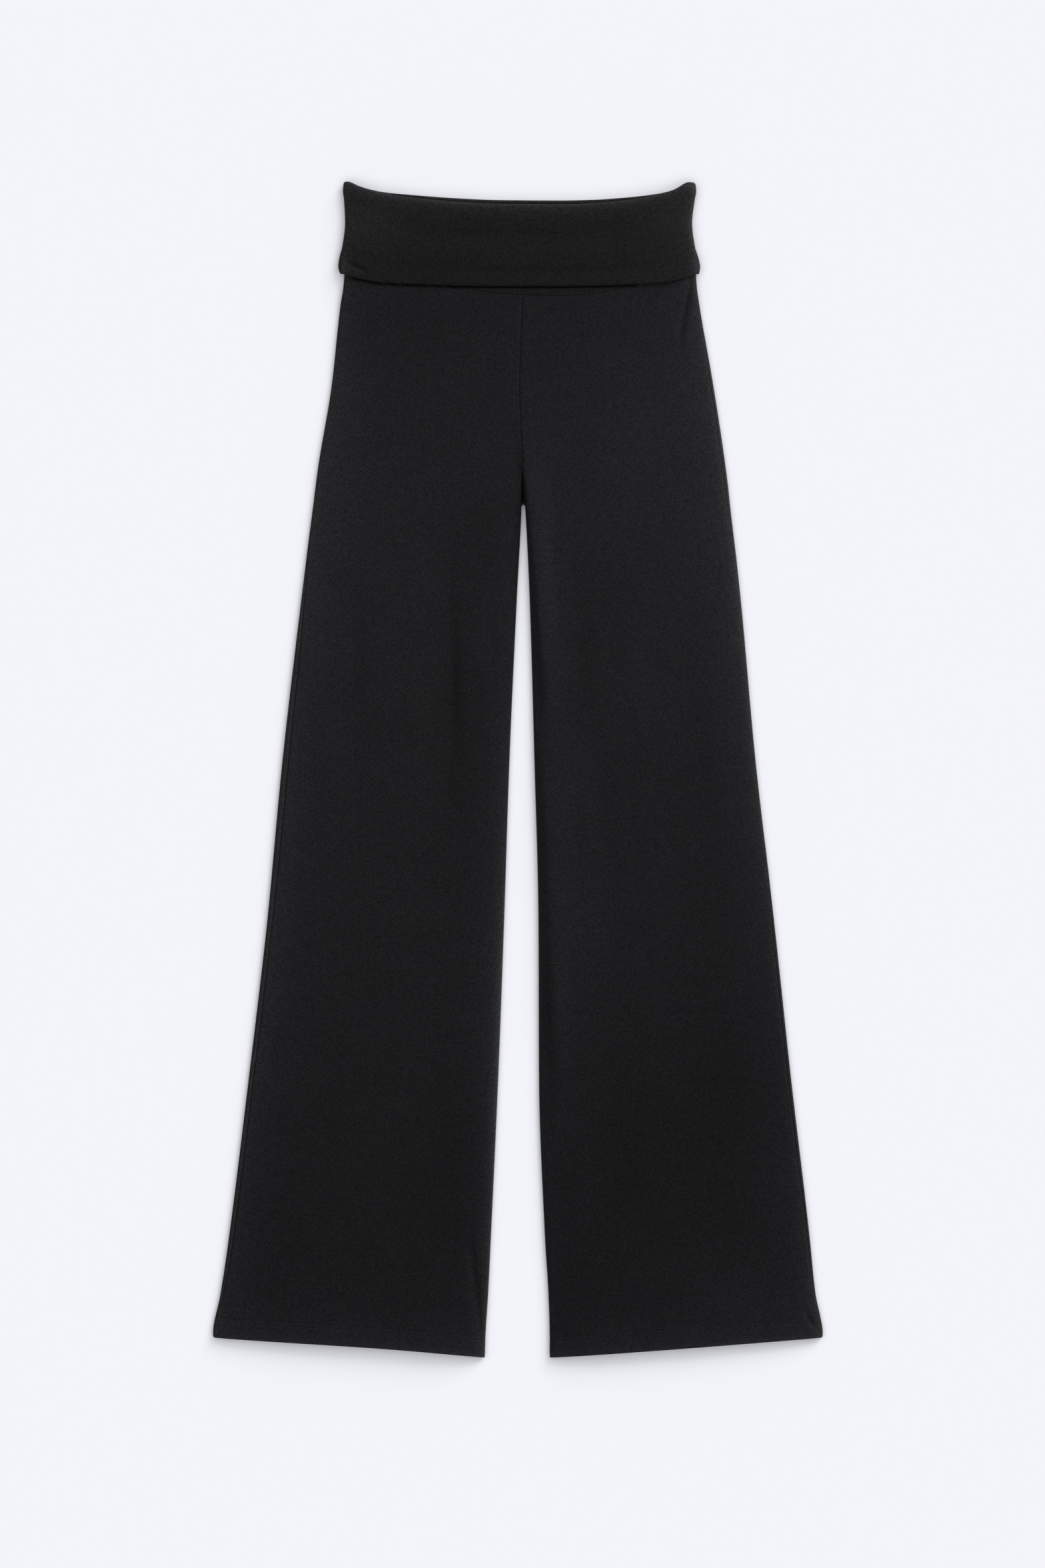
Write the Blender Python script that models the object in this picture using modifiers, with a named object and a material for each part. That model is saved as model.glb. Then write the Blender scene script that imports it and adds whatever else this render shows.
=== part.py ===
"""Wide-leg jersey lounge trousers with a fold-over waistband, laid flat on their back.

The garment lies on z = 0 with the waist towards +Y and the hems towards -Y, in metres. Sides are the
wearer's: the front faces up, so the wearer's right leg is at -X. It is made of the six pieces that are
cut and sewn: two fronts, two backs, and the front and back of the waistband. Each piece is a grid whose
points are placed on the laid tube of cloth, and Solidify gives it the thickness of its cloth.
"""

import math

import bmesh
import bpy
import numpy as np

# Cloth
LEG_CLOTH = 0.0012  # one layer of jersey
HEM_CLOTH = 0.0017  # jersey turned up inside the hem
BAND_CLOTH = 0.0016  # doubled jersey
HEM_DEPTH = 0.019
SEAM_GAP = 0.0003
EDGE = 0.0028  # outer radius where the laid tube turns at its sides
SIDE_SEAM_RUN = 0.0010  # the side seams lie this far up the turn from its widest point ...
SIDE_SEAM_DROP = 0.0030  # ... and this much further down it at the waist, where the back has climbed
SIDE_SEAM_LOW_Y = 0.415
SIDE_SEAM_HIGH_Y = 0.450
LEAF_STEP = 0.0019  # between the middles of the band's standing leaf and its turned-down leaf
TOP_ROLL = 0.0012  # how much further those leaves part at the top fold
TOP_ROLL_LENGTH = 0.014

# Sides
RIGHT = -1  # the wearer's right
LEFT = 1

# Places along the garment
CROTCH_Y = 0.2548
WEDGE_TOP_Y = 0.2894  # the rise seams run flat above this and dive to the crotch below it
ARCH_LENGTH = 0.004  # how soon the gap between the legs opens to its full width
RAMP_LOW_Y = 0.436  # from here the back climbs ...
RAMP_HIGH_Y = 0.458  # ... to here, onto the turned-down leaf that lies under it
HEM_INNER_Y = -0.5651
HEM_RISE = 0.0195  # a hem's outer corner is this much higher than its inner corner
BACK_HEM_LIFT = 0.0010  # the back hem stays hidden behind the front hem
SHARED_TOP_INNER_Y = 0.4700  # where the rows of front and back would both end at the centre seam ...
SHARED_TOP_OUTER_Y = 0.4848  # ... and at the side seam, if their waist seams were the same
OWN_CROWN_LOW_Y = 0.20  # each leg has a crown of its own below this ...
OWN_CROWN_HIGH_Y = 0.31  # ... and both share one above this

# The laid legs seen from above, a row for each section across. Above the crotch both inner columns
# hold the centre seam.
OUTLINE_COLUMNS = ("y", "outer_right", "inner_right", "inner_left", "outer_left")
OUTLINE_ROWS = (
    (-0.5660, -0.2933, -0.0317, 0.0304, 0.2933),
    (-0.5430, -0.2933, -0.0310, 0.0304, 0.2933),
    (-0.5035, -0.2862, -0.0285, 0.0292, 0.2862),
    (-0.4522, -0.2785, -0.0260, 0.0260, 0.2811),
    (-0.2984, -0.2593, -0.0189, 0.0202, 0.2631),
    (-0.1445, -0.2413, -0.0131, 0.0196, 0.2465),
    (0.0093, -0.2266, -0.0080, 0.0157, 0.2285),
    (0.1631, -0.2086, -0.0010, 0.0112, 0.2144),
    (0.2548, -0.1968, 0.0035, 0.0067, 0.2042),
    (0.2913, -0.1920, 0.0040, 0.0040, 0.1997),
    (0.3683, -0.1792, 0.0013, 0.0013, 0.1881),
    (0.4452, -0.1708, 0.0038, 0.0038, 0.1747),
    (0.4631, -0.1679, 0.0044, 0.0044, 0.1721),
    (0.4900, -0.1662, 0.0050, 0.0050, 0.1700),
    (0.5050, -0.1662, 0.0050, 0.0050, 0.1680),
)
BAND_SIDE_LOW_Y = 0.485  # from here the sides begin to follow the band ...
BAND_SIDE_HIGH_Y = 0.505  # ... and from here they are just inside its turned-down leaf
BAND_CORNER_Y = 0.5640

# How the front lies: the height of its crown, and how far from an edge it reaches that height
CROWN_COLUMNS = ("y", "height", "reach_outer", "reach_inner")
CROWN_ROWS = (
    (-0.5660, 0.0098, 0.150, 0.070),
    (-0.5200, 0.0084, 0.140, 0.070),
    (-0.4200, 0.0060, 0.110, 0.065),
    (-0.2000, 0.0053, 0.080, 0.060),
    (0.1500, 0.0058, 0.080, 0.060),
    (0.3000, 0.0054, 0.080, 0.060),
    (0.4600, 0.0041, 0.070, 0.060),
    (0.5700, 0.0047, 0.060, 0.060),
)

# Long folds of the front: where each starts and ends, its bow towards +X, its width and its height
FOLD_COLUMNS = ("x_top", "y_top", "x_low", "y_low", "bow", "width", "height")
FOLD_ROWS = (
    (-0.1455, 0.2000, -0.1455, 0.0150, 0.0000, 0.0095, -0.0014),
    (-0.0665, 0.2450, -0.0620, -0.0400, 0.0040, 0.0100, -0.0024),
    (0.0061, 0.3300, 0.0413, 0.0300, 0.0070, 0.0090, 0.0018),
    (0.0413, 0.0900, 0.0529, -0.2100, -0.0060, 0.0100, 0.0013),
    (0.0561, 0.2400, 0.1003, -0.1400, -0.0035, 0.0110, -0.0019),
    (0.1610, 0.1650, 0.1836, -0.1200, 0.0030, 0.0110, -0.0014),
)
FOLD_FADE = 0.35  # share of a fold's length over which each end dies away
FOLD_EDGE_CALM = 0.018  # folds die away this near to an edge

# The waistband, a row for each station across
BAND_COLUMNS = ("x", "seam_front", "seam_back", "top_front", "top_back", "leaf_front", "leaf_back")
BAND_ROWS = (
    (-0.1750, 0.4850, 0.4850, 0.5645, 0.5645, 0.4805, 0.4805),
    (-0.1640, 0.4850, 0.4850, 0.5650, 0.5650, 0.4755, 0.4770),
    (-0.1515, 0.4825, 0.4840, 0.5600, 0.5605, 0.4713, 0.4740),
    (-0.1300, 0.4780, 0.4820, 0.5532, 0.5553, 0.4676, 0.4710),
    (-0.1070, 0.4732, 0.4805, 0.5495, 0.5529, 0.4663, 0.4700),
    (-0.0542, 0.4631, 0.4780, 0.5447, 0.5490, 0.4646, 0.4690),
    (-0.0163, 0.4568, 0.4772, 0.5430, 0.5475, 0.4642, 0.4685),
    (0.0400, 0.4549, 0.4770, 0.5426, 0.5471, 0.4642, 0.4685),
    (0.0715, 0.4565, 0.4775, 0.5435, 0.5478, 0.4644, 0.4690),
    (0.1054, 0.4638, 0.4790, 0.5467, 0.5501, 0.4655, 0.4700),
    (0.1336, 0.4720, 0.4805, 0.5517, 0.5535, 0.4673, 0.4715),
    (0.1497, 0.4780, 0.4820, 0.5568, 0.5574, 0.4695, 0.4730),
    (0.1640, 0.4830, 0.4830, 0.5642, 0.5642, 0.4732, 0.4750),
    (0.1760, 0.4840, 0.4840, 0.5630, 0.5630, 0.4790, 0.4790),
)

# Outer edges of the turned-down leaf, seen from above
LEAF_SIDE_COLUMNS = ("y", "right", "left")
LEAF_SIDE_ROWS = (
    (0.4750, -0.1705, 0.1740),
    (0.4830, -0.1728, 0.1753),
    (0.4901, -0.1721, 0.1740),
    (0.5029, -0.1689, 0.1702),
    (0.5253, -0.1663, 0.1676),
    (0.5480, -0.1674, 0.1702),
    (0.5554, -0.1683, 0.1715),
    (0.5680, -0.1672, 0.1700),
)

# How far the front's turned-down leaf lifts off the standing leaf, by distance below the top fold
LEAF_LIFT_COLUMNS = ("below_top", "lift")
LEAF_LIFT_ROWS = (
    (0.000, TOP_ROLL),
    (0.006, TOP_ROLL),
    (0.022, 0.0001),
    (0.034, 0.0002),
    (0.048, 0.0010),
    (0.058, 0.0010),
    (0.066, 0.0003),
    (0.080, 0.0010),
)

# Grids. Shares run from a seam to the end of its close columns.
SIDE_RUN = 0.011  # how far along the cloth from its widest point the close columns reach
FRONT_CLOSE_SHARES = (0.0, 0.03, 0.13, 0.27, 0.42, 0.63, 1.0)
BACK_CLOSE_SHARES = (0.0, 0.03, 0.12, 0.23, 0.34, 0.45, 0.60, 1.0)
CLOSE_FRACTION = 0.04  # share of a panel's width that the close columns take at each side
FRONT_MIDDLE_COLUMNS = 17
BACK_MIDDLE_COLUMNS = 3
HEM_ROWS = (HEM_INNER_Y, HEM_INNER_Y + HEM_DEPTH / 2, HEM_INNER_Y + HEM_DEPTH)
LEG_ROWS = (
    -0.5440, -0.5100, -0.4500, -0.3750, -0.3000, -0.2250, -0.1500, -0.0850, -0.0200, 0.0400, 0.0950,
    0.1450, 0.1950, 0.2350, 0.2500, 0.2538,
)
RISE_ROWS = (CROTCH_Y, 0.2630, 0.2750, WEDGE_TOP_Y, 0.3250, 0.3700, 0.4150, 0.4450)
BAND_TURNS = (0.0, 0.30, 0.58, 0.90, 1.22, math.pi / 2)  # angles up the side of the band
FRONT_BAND_MIDDLE_COLUMNS = 18
BACK_BAND_MIDDLE_COLUMNS = 12
BAND_END_CROWDING = 0.10  # draws the band's middle columns towards its ends
LEAF_STEPS = 6
TURN_STEPS = 6
SETTLING_ROUNDS = 5  # a row's y depends on x and its x on y, so both are found in rounds

JERSEY_BLACK = (0.0130, 0.0133, 0.0145, 1.0)
JERSEY_ROUGHNESS = 0.9


def table(columns, rows):
    """A table's columns by name."""
    return dict(zip(columns, np.array(rows).T))


OUTLINE = table(OUTLINE_COLUMNS, OUTLINE_ROWS)
CROWN = table(CROWN_COLUMNS, CROWN_ROWS)
BAND = table(BAND_COLUMNS, BAND_ROWS)
LEAF_SIDE = table(LEAF_SIDE_COLUMNS, LEAF_SIDE_ROWS)
LEAF_LIFT = table(LEAF_LIFT_COLUMNS, LEAF_LIFT_ROWS)


def look_up(data, column, at):
    """A table's column at any place along its first column, on a smooth curve that never overshoots."""
    knots, values = next(iter(data.values())), data[column]
    chord = np.diff(values) / np.diff(knots)
    before, after = chord[:-1], chord[1:]
    same_way = before * after > 0
    total = np.where(same_way, before + after, 1.0)
    inside = np.where(same_way, 2 * before * after / total, 0.0)
    slope = np.concatenate((chord[:1], inside, chord[-1:]))
    row = np.clip(np.searchsorted(knots, at) - 1, 0, len(knots) - 2)
    span = knots[row + 1] - knots[row]
    t = np.clip((at - knots[row]) / span, 0.0, 1.0)
    ends = values[row] * (1 + 2 * t) * (1 - t) ** 2 + values[row + 1] * t ** 2 * (3 - 2 * t)
    return ends + span * t * (1 - t) * (slope[row] * (1 - t) - slope[row + 1] * t)


def ease(value, start, end):
    """0 before start, 1 after end, smooth between them."""
    t = np.clip((value - start) / (end - start), 0.0, 1.0)
    return t * t * (3 - 2 * t)


def side_name(side):
    """The word for a side, as it is in the tables' columns and the pieces' names."""
    return "right" if side == RIGHT else "left"


def outer_edge(side, y):
    """The leg's outer edge, and above the waist seam the standing leaf's."""
    leg = look_up(OUTLINE, "outer_" + side_name(side), y)
    roll = TOP_ROLL * (1 - ease(BAND_CORNER_Y - y, 0.0, TOP_ROLL_LENGTH))
    step = LEAF_STEP + (BAND_CLOTH - LEG_CLOTH) / 2 + roll
    inside_leaf = look_up(LEAF_SIDE, side_name(side), y) - side * step
    return leg + (inside_leaf - leg) * ease(y, BAND_SIDE_LOW_Y, BAND_SIDE_HIGH_Y)


def seam_turn(y):
    """How far the rise seam has turned down: 0 where it lies flat, a quarter turn at the crotch."""
    return math.pi / 2 * (1 - ease(y, CROTCH_Y, WEDGE_TOP_Y))


def inner_edge(side, y):
    """The widest point of a leg's inner side, or where it would be under the rise seam."""
    centre = (look_up(OUTLINE, "inner_right", y) + look_up(OUTLINE, "inner_left", y)) / 2
    meeting = centre + side * SEAM_GAP / 2
    rise = meeting - side * EDGE * (1 - np.sin(seam_turn(y)))
    leg = look_up(OUTLINE, "inner_" + side_name(side), y)
    opened = np.sqrt(np.clip((CROTCH_Y - y) / ARCH_LENGTH, 0.0, 1.0))
    return np.where(y >= CROTCH_Y, rise, meeting + (leg - meeting) * opened)


def floor_height(y):
    """Height of the back's outer face: on the floor, and up on the turned-down leaf near the waist."""
    on_leaf = LEAF_STEP + (BAND_CLOTH - LEG_CLOTH) / 2
    return on_leaf * ease(y, RAMP_LOW_Y, RAMP_HIGH_Y)


def shoulder(distance, reach):
    """Rises from 0 at an edge to 1 at its reach."""
    return np.sin(math.pi / 2 * np.clip(distance / reach, 0.0, 1.0))


def folds(x, y):
    """Soft ridges and troughs, each along a bowed line, dying away at its ends."""
    height = np.zeros_like(x)
    for row in FOLD_ROWS:
        fold = dict(zip(FOLD_COLUMNS, row))
        run_x, run_y = fold["x_low"] - fold["x_top"], fold["y_low"] - fold["y_top"]
        length = math.hypot(run_x, run_y)
        from_x, from_y = x - fold["x_top"], y - fold["y_top"]
        along = (from_x * run_x + from_y * run_y) / length ** 2
        across = (from_y * run_x - from_x * run_y) / length - 4 * fold["bow"] * along * (1 - along)
        ends = ease(along, 0.0, FOLD_FADE) * ease(1 - along, 0.0, FOLD_FADE)
        height += fold["height"] * ends * np.exp(-((across / fold["width"]) ** 2))
    return height


def front_height(x, y):
    """Height of the front's outer face: a tube's two side turns, its crown and its folds."""
    outer = np.minimum(x - outer_edge(RIGHT, y), outer_edge(LEFT, y) - x)
    inner = np.maximum(inner_edge(RIGHT, y) - x, x - inner_edge(LEFT, y))
    own = 1 - ease(y, OWN_CROWN_LOW_Y, OWN_CROWN_HIGH_Y)
    crown = look_up(CROWN, "height", y) * shoulder(outer, look_up(CROWN, "reach_outer", y))
    crown = crown * (1 - own + own * shoulder(inner, look_up(CROWN, "reach_inner", y)))
    calm = ease(outer, 0.0, FOLD_EDGE_CALM) * (1 - own + own * ease(inner, 0.0, FOLD_EDGE_CALM))
    return floor_height(y) + 2 * EDGE + crown + calm * folds(x, y)


def grid_object(name, rows, columns):
    """A grid object with its points' rows and columns, counted from the grid's low corner."""
    shape = bmesh.new()
    bmesh.ops.create_grid(shape, x_segments=columns - 1, y_segments=rows - 1, size=1.0)
    places = np.array([vert.co[:2] for vert in shape.verts])
    mesh = bpy.data.meshes.new(name)
    shape.to_mesh(mesh)
    shape.free()
    steps = np.array((columns - 1, rows - 1))
    column, row = np.rint((places + 1) / 2 * steps).astype(int).T
    return bpy.data.objects.new(name, mesh), row, column


def place_points(piece, x, y, z):
    """Moves a grid's points and shades it smooth."""
    piece.data.vertices.foreach_set("co", np.column_stack((x, y, z)).ravel())
    piece.data.shade_smooth()
    piece.data.update()


def give_thickness(piece, cloth, group=""):
    """A wall of cloth centred on the grid, thinner where the group's weights are below 1."""
    wall = piece.modifiers.new("cloth", "SOLIDIFY")
    wall.thickness = cloth
    wall.offset = 0.0
    wall.use_quality_normals = True
    wall.vertex_group = group


def side_turn(run, depth):
    """How far in and how high the cloth stands at a run along it from the widest point of a side.

    The run is positive up over the front and negative down under the back, the height is counted
    from the middle of the turn, and depth goes in from the outer face.
    """
    turn = np.clip(run / EDGE, -math.pi / 2, math.pi / 2)
    past = np.maximum(np.abs(run) - EDGE * math.pi / 2, 0.0)
    reach = EDGE - (EDGE - depth) * np.cos(turn) + past
    return reach, (EDGE - depth) * np.sin(turn)


def side_seam(y):
    """How far along the cloth from a side's widest point its seam lies, positive up over the front."""
    return SIDE_SEAM_RUN - SIDE_SEAM_DROP * ease(y, SIDE_SEAM_LOW_Y, SIDE_SEAM_HIGH_Y)


def half_gap(run):
    """Half a seam's gap along the cloth: wider on a turn, so that the wall's inner face keeps its gap."""
    return SEAM_GAP / 2 * (1 + np.cos(np.minimum(run / EDGE, math.pi / 2)))


class LegPanel:
    """One leg panel, front or back, as a grid from its outer seam to its inner seam."""

    def __init__(self, side, layer):
        self.side = side
        self.layer = layer
        self.way = 1 if layer == "front" else -1
        close = FRONT_CLOSE_SHARES if layer == "front" else BACK_CLOSE_SHARES
        middle_count = FRONT_MIDDLE_COLUMNS if layer == "front" else BACK_MIDDLE_COLUMNS
        middle = np.arange(1, middle_count + 1) / (middle_count + 1)
        close = np.array(close)
        self.zone = np.repeat((0, 1, 2), (len(close), middle_count, len(close)))
        self.share = np.concatenate((close, middle, close[::-1]))
        self.fraction = np.concatenate((
            CLOSE_FRACTION * close,
            CLOSE_FRACTION + (1 - 2 * CLOSE_FRACTION) * middle,
            1 - CLOSE_FRACTION * close[::-1],
        ))

    def across(self, y, depth):
        """x, run and rise of each column at its own y."""
        far = self.way * SIDE_RUN
        outer_seam = side_seam(y) + self.way * half_gap(side_seam(y))
        inner_seam = EDGE * (math.pi / 2 - seam_turn(y))
        inner_seam = self.way * (inner_seam + half_gap(inner_seam))
        outer_run = outer_seam + (far - outer_seam) * self.share
        inner_run = inner_seam + (far - inner_seam) * self.share
        outer_reach, outer_rise = side_turn(outer_run, depth)
        inner_reach, inner_rise = side_turn(inner_run, depth)
        far_reach, far_rise = side_turn(np.full_like(y, far), depth)
        outer, inner = outer_edge(self.side, y), inner_edge(self.side, y)
        far_outer = outer - self.side * far_reach
        far_inner = inner + self.side * far_reach
        zones = [self.zone == 0, self.zone == 1, self.zone == 2]
        zones = [np.broadcast_to(zone, y.shape) for zone in zones]
        middle = far_outer + (far_inner - far_outer) * self.share
        x = np.select(zones, [outer - self.side * outer_reach, middle, inner + self.side * inner_reach])
        run = np.select(zones, [outer_run, np.full_like(y, far), inner_run])
        rise = np.select(zones, [outer_rise, far_rise, inner_rise])
        return x, run, rise

    def rows(self):
        """y of each row and column, from the hem up to the waist seam.

        Rows are named at the inner edge. Front and back share them along the side seam and the
        inseam, and differ only as their waist seams and hems do.
        """
        hem = HEM_INNER_Y + HEM_RISE * (1 - self.fraction)
        shared_top = SHARED_TOP_INNER_Y + (SHARED_TOP_OUTER_Y - SHARED_TOP_INNER_Y) * (1 - self.fraction)
        seam = shared_top
        for _ in range(SETTLING_ROUNDS):
            x = self.across(seam, LEG_CLOTH / 2)[0]
            seam = look_up(BAND, "seam_" + self.layer, x) - SEAM_GAP / 2
        named = np.array(HEM_ROWS + LEG_ROWS + RISE_ROWS + (SHARED_TOP_INNER_Y,))[:, None]
        share = (named - HEM_INNER_Y) / (SHARED_TOP_INNER_Y - HEM_INNER_Y)
        y = hem + share * (shared_top - hem)
        y += (seam - shared_top) * ease(named, WEDGE_TOP_Y, SHARED_TOP_INNER_Y)
        if self.layer == "back":
            y[0] += BACK_HEM_LIFT
        return y

    def build(self):
        """The panel's object, with a thicker wall in the turned-up hem."""
        y = self.rows()
        rows, columns = y.shape
        in_hem = np.arange(rows) < len(HEM_ROWS)
        depth = np.where(in_hem, HEM_CLOTH / 2, LEG_CLOTH / 2)[:, None]
        x, run, rise = self.across(y, depth)
        on_front = front_height(x, y) - EDGE + rise
        on_back = floor_height(y) + EDGE + rise
        z = np.where(run >= 0, on_front, on_back)
        name = self.layer + "_" + side_name(self.side) + "_leg"
        piece, row, column = grid_object(name, rows, columns)
        place_points(piece, x[row, column], y[row, column], z[row, column])
        group = piece.vertex_groups.new(name="hem")
        for point, thick in enumerate(in_hem[row]):
            group.add([point], 1.0 if thick else LEG_CLOTH / HEM_CLOTH, "REPLACE")
        give_thickness(piece, HEM_CLOTH, group.name)
        return piece


class WaistBand:
    """The band's front or back: it stands up from the waist seam, turns over and falls outside."""

    def __init__(self, layer):
        self.layer = layer
        self.way = 1 if layer == "front" else -1
        middle_count = FRONT_BAND_MIDDLE_COLUMNS if layer == "front" else BACK_BAND_MIDDLE_COLUMNS
        even = np.arange(1, middle_count + 1) / (middle_count + 1)
        middle = even - BAND_END_CROWDING * np.sin(2 * math.pi * even)
        turns = np.array(BAND_TURNS)
        flat = np.full(middle_count, math.pi / 2)
        self.turn = np.concatenate((turns, flat, turns[::-1]))
        self.fraction = np.concatenate((0 * turns, middle, 0 * turns + 1))

    def leaf_point(self, y, turned_down, lift):
        """Where a leaf's middle is at its columns: x and z of the standing or the turned-down leaf."""
        radius = EDGE - LEG_CLOTH / 2 + (LEAF_STEP if turned_down else 0.0)
        turn = np.maximum(self.turn, half_gap(0.0) / radius)
        if turned_down:
            right = look_up(LEAF_SIDE, "right", y) + BAND_CLOTH / 2
            left = look_up(LEAF_SIDE, "left", y) - BAND_CLOTH / 2
        else:
            right = outer_edge(RIGHT, y) + LEG_CLOTH / 2
            left = outer_edge(LEFT, y) - LEG_CLOTH / 2
        flat_right, flat_left = right + radius, left - radius
        x = flat_right + (flat_left - flat_right) * self.fraction
        x = x + radius * np.cos(turn) * np.where(self.fraction == 0, -1, np.where(self.fraction == 1, 1, 0))
        if self.layer == "front":
            middle = front_height(x, y) - EDGE
        else:
            middle = floor_height(y) + EDGE
        return x, middle + (self.way * radius + lift) * np.sin(turn)

    def standing(self, y, top):
        """The standing leaf. The back's lifts off its turned-down leaf towards the top fold."""
        lift = 0.0
        if self.layer == "back":
            lift = TOP_ROLL * (1 - ease(top - y, 0.0, TOP_ROLL_LENGTH))
        return self.leaf_point(y, False, lift)

    def fallen(self, y, top):
        """The turned-down leaf. The front's lifts off the standing leaf, the back's lies flat."""
        lift = look_up(LEAF_LIFT, "lift", top - y) if self.layer == "front" else 0.0
        return self.leaf_point(y, True, lift)

    def line(self, name):
        """y of a line of the band's table at each column of the standing leaf."""
        column = name + "_" + self.layer
        y = np.full_like(self.turn, BAND[column].mean())
        for _ in range(SETTLING_ROUNDS):
            x = self.leaf_point(y, False, 0.0)[0]
            y = look_up(BAND, column, x)
        return y

    def build(self):
        """The piece's object: rows go up the standing leaf, round the top fold and down the other."""
        seam = self.line("seam") + SEAM_GAP / 2
        top, leaf = self.line("top"), self.line("leaf")
        bend = (LEAF_STEP + TOP_ROLL) / 2
        centre = top - BAND_CLOTH / 2 - bend
        up = np.arange(LEAF_STEPS)[:, None] / LEAF_STEPS
        over = np.arange(TURN_STEPS + 1)[:, None] / TURN_STEPS * math.pi
        down = np.arange(1, LEAF_STEPS + 1)[:, None] / LEAF_STEPS
        y = np.concatenate((
            seam + (centre - seam) * up,
            centre + bend * np.sin(over),
            centre + (leaf - centre) * down,
        ))
        fallen_share = np.concatenate((0 * up, (1 - np.cos(over)) / 2, 0 * down + 1))
        x_standing, z_standing = self.standing(y, top)
        x_fallen, z_fallen = self.fallen(y, top)
        x = x_standing + (x_fallen - x_standing) * fallen_share
        z = z_standing + (z_fallen - z_standing) * fallen_share
        piece, row, column = grid_object("waistband_" + self.layer, *y.shape)
        place_points(piece, x[row, column], y[row, column], z[row, column])
        give_thickness(piece, BAND_CLOTH)
        return piece


def jersey(name):
    """The piece's own black jersey."""
    cloth = bpy.data.materials.new("jersey_" + name)
    cloth.use_nodes = True
    shader = cloth.node_tree.nodes["Principled BSDF"]
    shader.inputs["Base Color"].default_value = JERSEY_BLACK
    shader.inputs["Roughness"].default_value = JERSEY_ROUGHNESS
    shader.inputs["Metallic"].default_value = 0.0
    return cloth


def main():
    """Clears the scene and builds the six pieces, each with its own jersey."""
    for old in list(bpy.data.objects):
        bpy.data.objects.remove(old, do_unlink=True)
    garment = bpy.data.collections.new("pyjama_trousers")
    bpy.context.scene.collection.children.link(garment)
    pieces = [LegPanel(side, layer).build() for layer in ("front", "back") for side in (RIGHT, LEFT)]
    pieces += [WaistBand(layer).build() for layer in ("front", "back")]
    for piece in pieces:
        piece.data.materials.append(jersey(piece.name))
        garment.objects.link(piece)


main()
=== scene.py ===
"""Plain black wide-leg lounge trousers with a fold-over waistband, laid flat on their back.

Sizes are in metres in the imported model's frame: z = 0 is the surface that the garment lies on, +Y runs
from the hems to the waist, and the wearer's left leg is at +X. Every piece that is cut and sewn is a
closed shell of cloth worked out on a grid. Its middle surface is a function of a place across the piece
and a place along it, on the same laid tube of cloth that the solids have, and its thickness falls off as
a circle's at the piece's edges. Creases, seams, hems and stitches are added to that form.
"""

import logging
import math
from collections.abc import Sequence
from dataclasses import dataclass, field
from enum import Enum

import bpy
import numpy as np
import numpy.typing as npt
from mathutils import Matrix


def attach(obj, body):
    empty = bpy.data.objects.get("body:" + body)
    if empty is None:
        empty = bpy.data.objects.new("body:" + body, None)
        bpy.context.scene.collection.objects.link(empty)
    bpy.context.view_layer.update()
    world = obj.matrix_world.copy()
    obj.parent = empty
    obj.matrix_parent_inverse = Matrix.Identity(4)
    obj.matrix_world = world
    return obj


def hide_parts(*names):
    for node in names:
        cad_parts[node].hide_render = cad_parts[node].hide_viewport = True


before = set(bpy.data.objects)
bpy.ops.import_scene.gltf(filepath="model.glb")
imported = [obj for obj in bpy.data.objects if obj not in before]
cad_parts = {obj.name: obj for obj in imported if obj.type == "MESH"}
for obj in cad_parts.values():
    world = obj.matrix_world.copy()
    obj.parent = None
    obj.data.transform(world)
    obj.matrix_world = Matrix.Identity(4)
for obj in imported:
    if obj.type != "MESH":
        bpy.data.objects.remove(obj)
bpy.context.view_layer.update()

Array = npt.NDArray[np.float64]
LOG = logging.getLogger("trousers")
LATTICE = 128  # points a side of the lattice that uneven heights are read from
ROUNDS = 5  # enough to settle a line whose x and y depend on each other


class Side(Enum):
    """The wearer's side, as the sign of its x."""

    RIGHT = -1
    LEFT = 1

    @property
    def word(self) -> str:
        """The side's word in the names of nodes and columns."""
        return self.name.lower()


class Layer(Enum):
    """Front or back of the garment, as the sign of the way that its outer face looks."""

    FRONT = 1
    BACK = -1

    @property
    def word(self) -> str:
        """The layer's word in the names of nodes and columns."""
        return self.name.lower()


def ease(value: Array, start: float, end: float) -> Array:
    """A smooth step: 3t² − 2t³ of t, the share of the way from start to end.

    Args:
        value: Where the step is read.
        start: The value up to which the step is 0.
        end: The value from which it is 1.

    Returns:
        The step, as large as value.
    """
    t = np.clip((value - start) / (end - start), 0.0, 1.0)
    return t * t * (3 - 2 * t)


def unevenness(x: Array, y: Array, span: float, seed: int) -> Array:
    """Soft random heights from −1 to 1 on a lattice of seeded values, read with eased weights.

    The height is the sum, over the four lattice points round a place, of the point's value times
    w(tx) w(ty), where t is 1 less the distance in lattice steps and w(t) = 3t² − 2t³.

    Args:
        x: Places across.
        y: Places along, as large as x.
        span: The lattice's step, in metres.
        seed: The seed of the lattice's values.

    Returns:
        The heights, as large as x.
    """
    lattice = np.random.default_rng(seed).uniform(-1.0, 1.0, (LATTICE, LATTICE))
    column, row = x / span + LATTICE / 2, y / span + LATTICE / 2
    left, low = np.floor(column).astype(int), np.floor(row).astype(int)
    right_share, top_share = ease(column - left, 0.0, 1.0), ease(row - low, 0.0, 1.0)
    below = lattice[low, left] * (1 - right_share) + lattice[low, left + 1] * right_share
    above = lattice[low + 1, left] * (1 - right_share) + lattice[low + 1, left + 1] * right_share
    return below * (1 - top_share) + above * top_share


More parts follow.
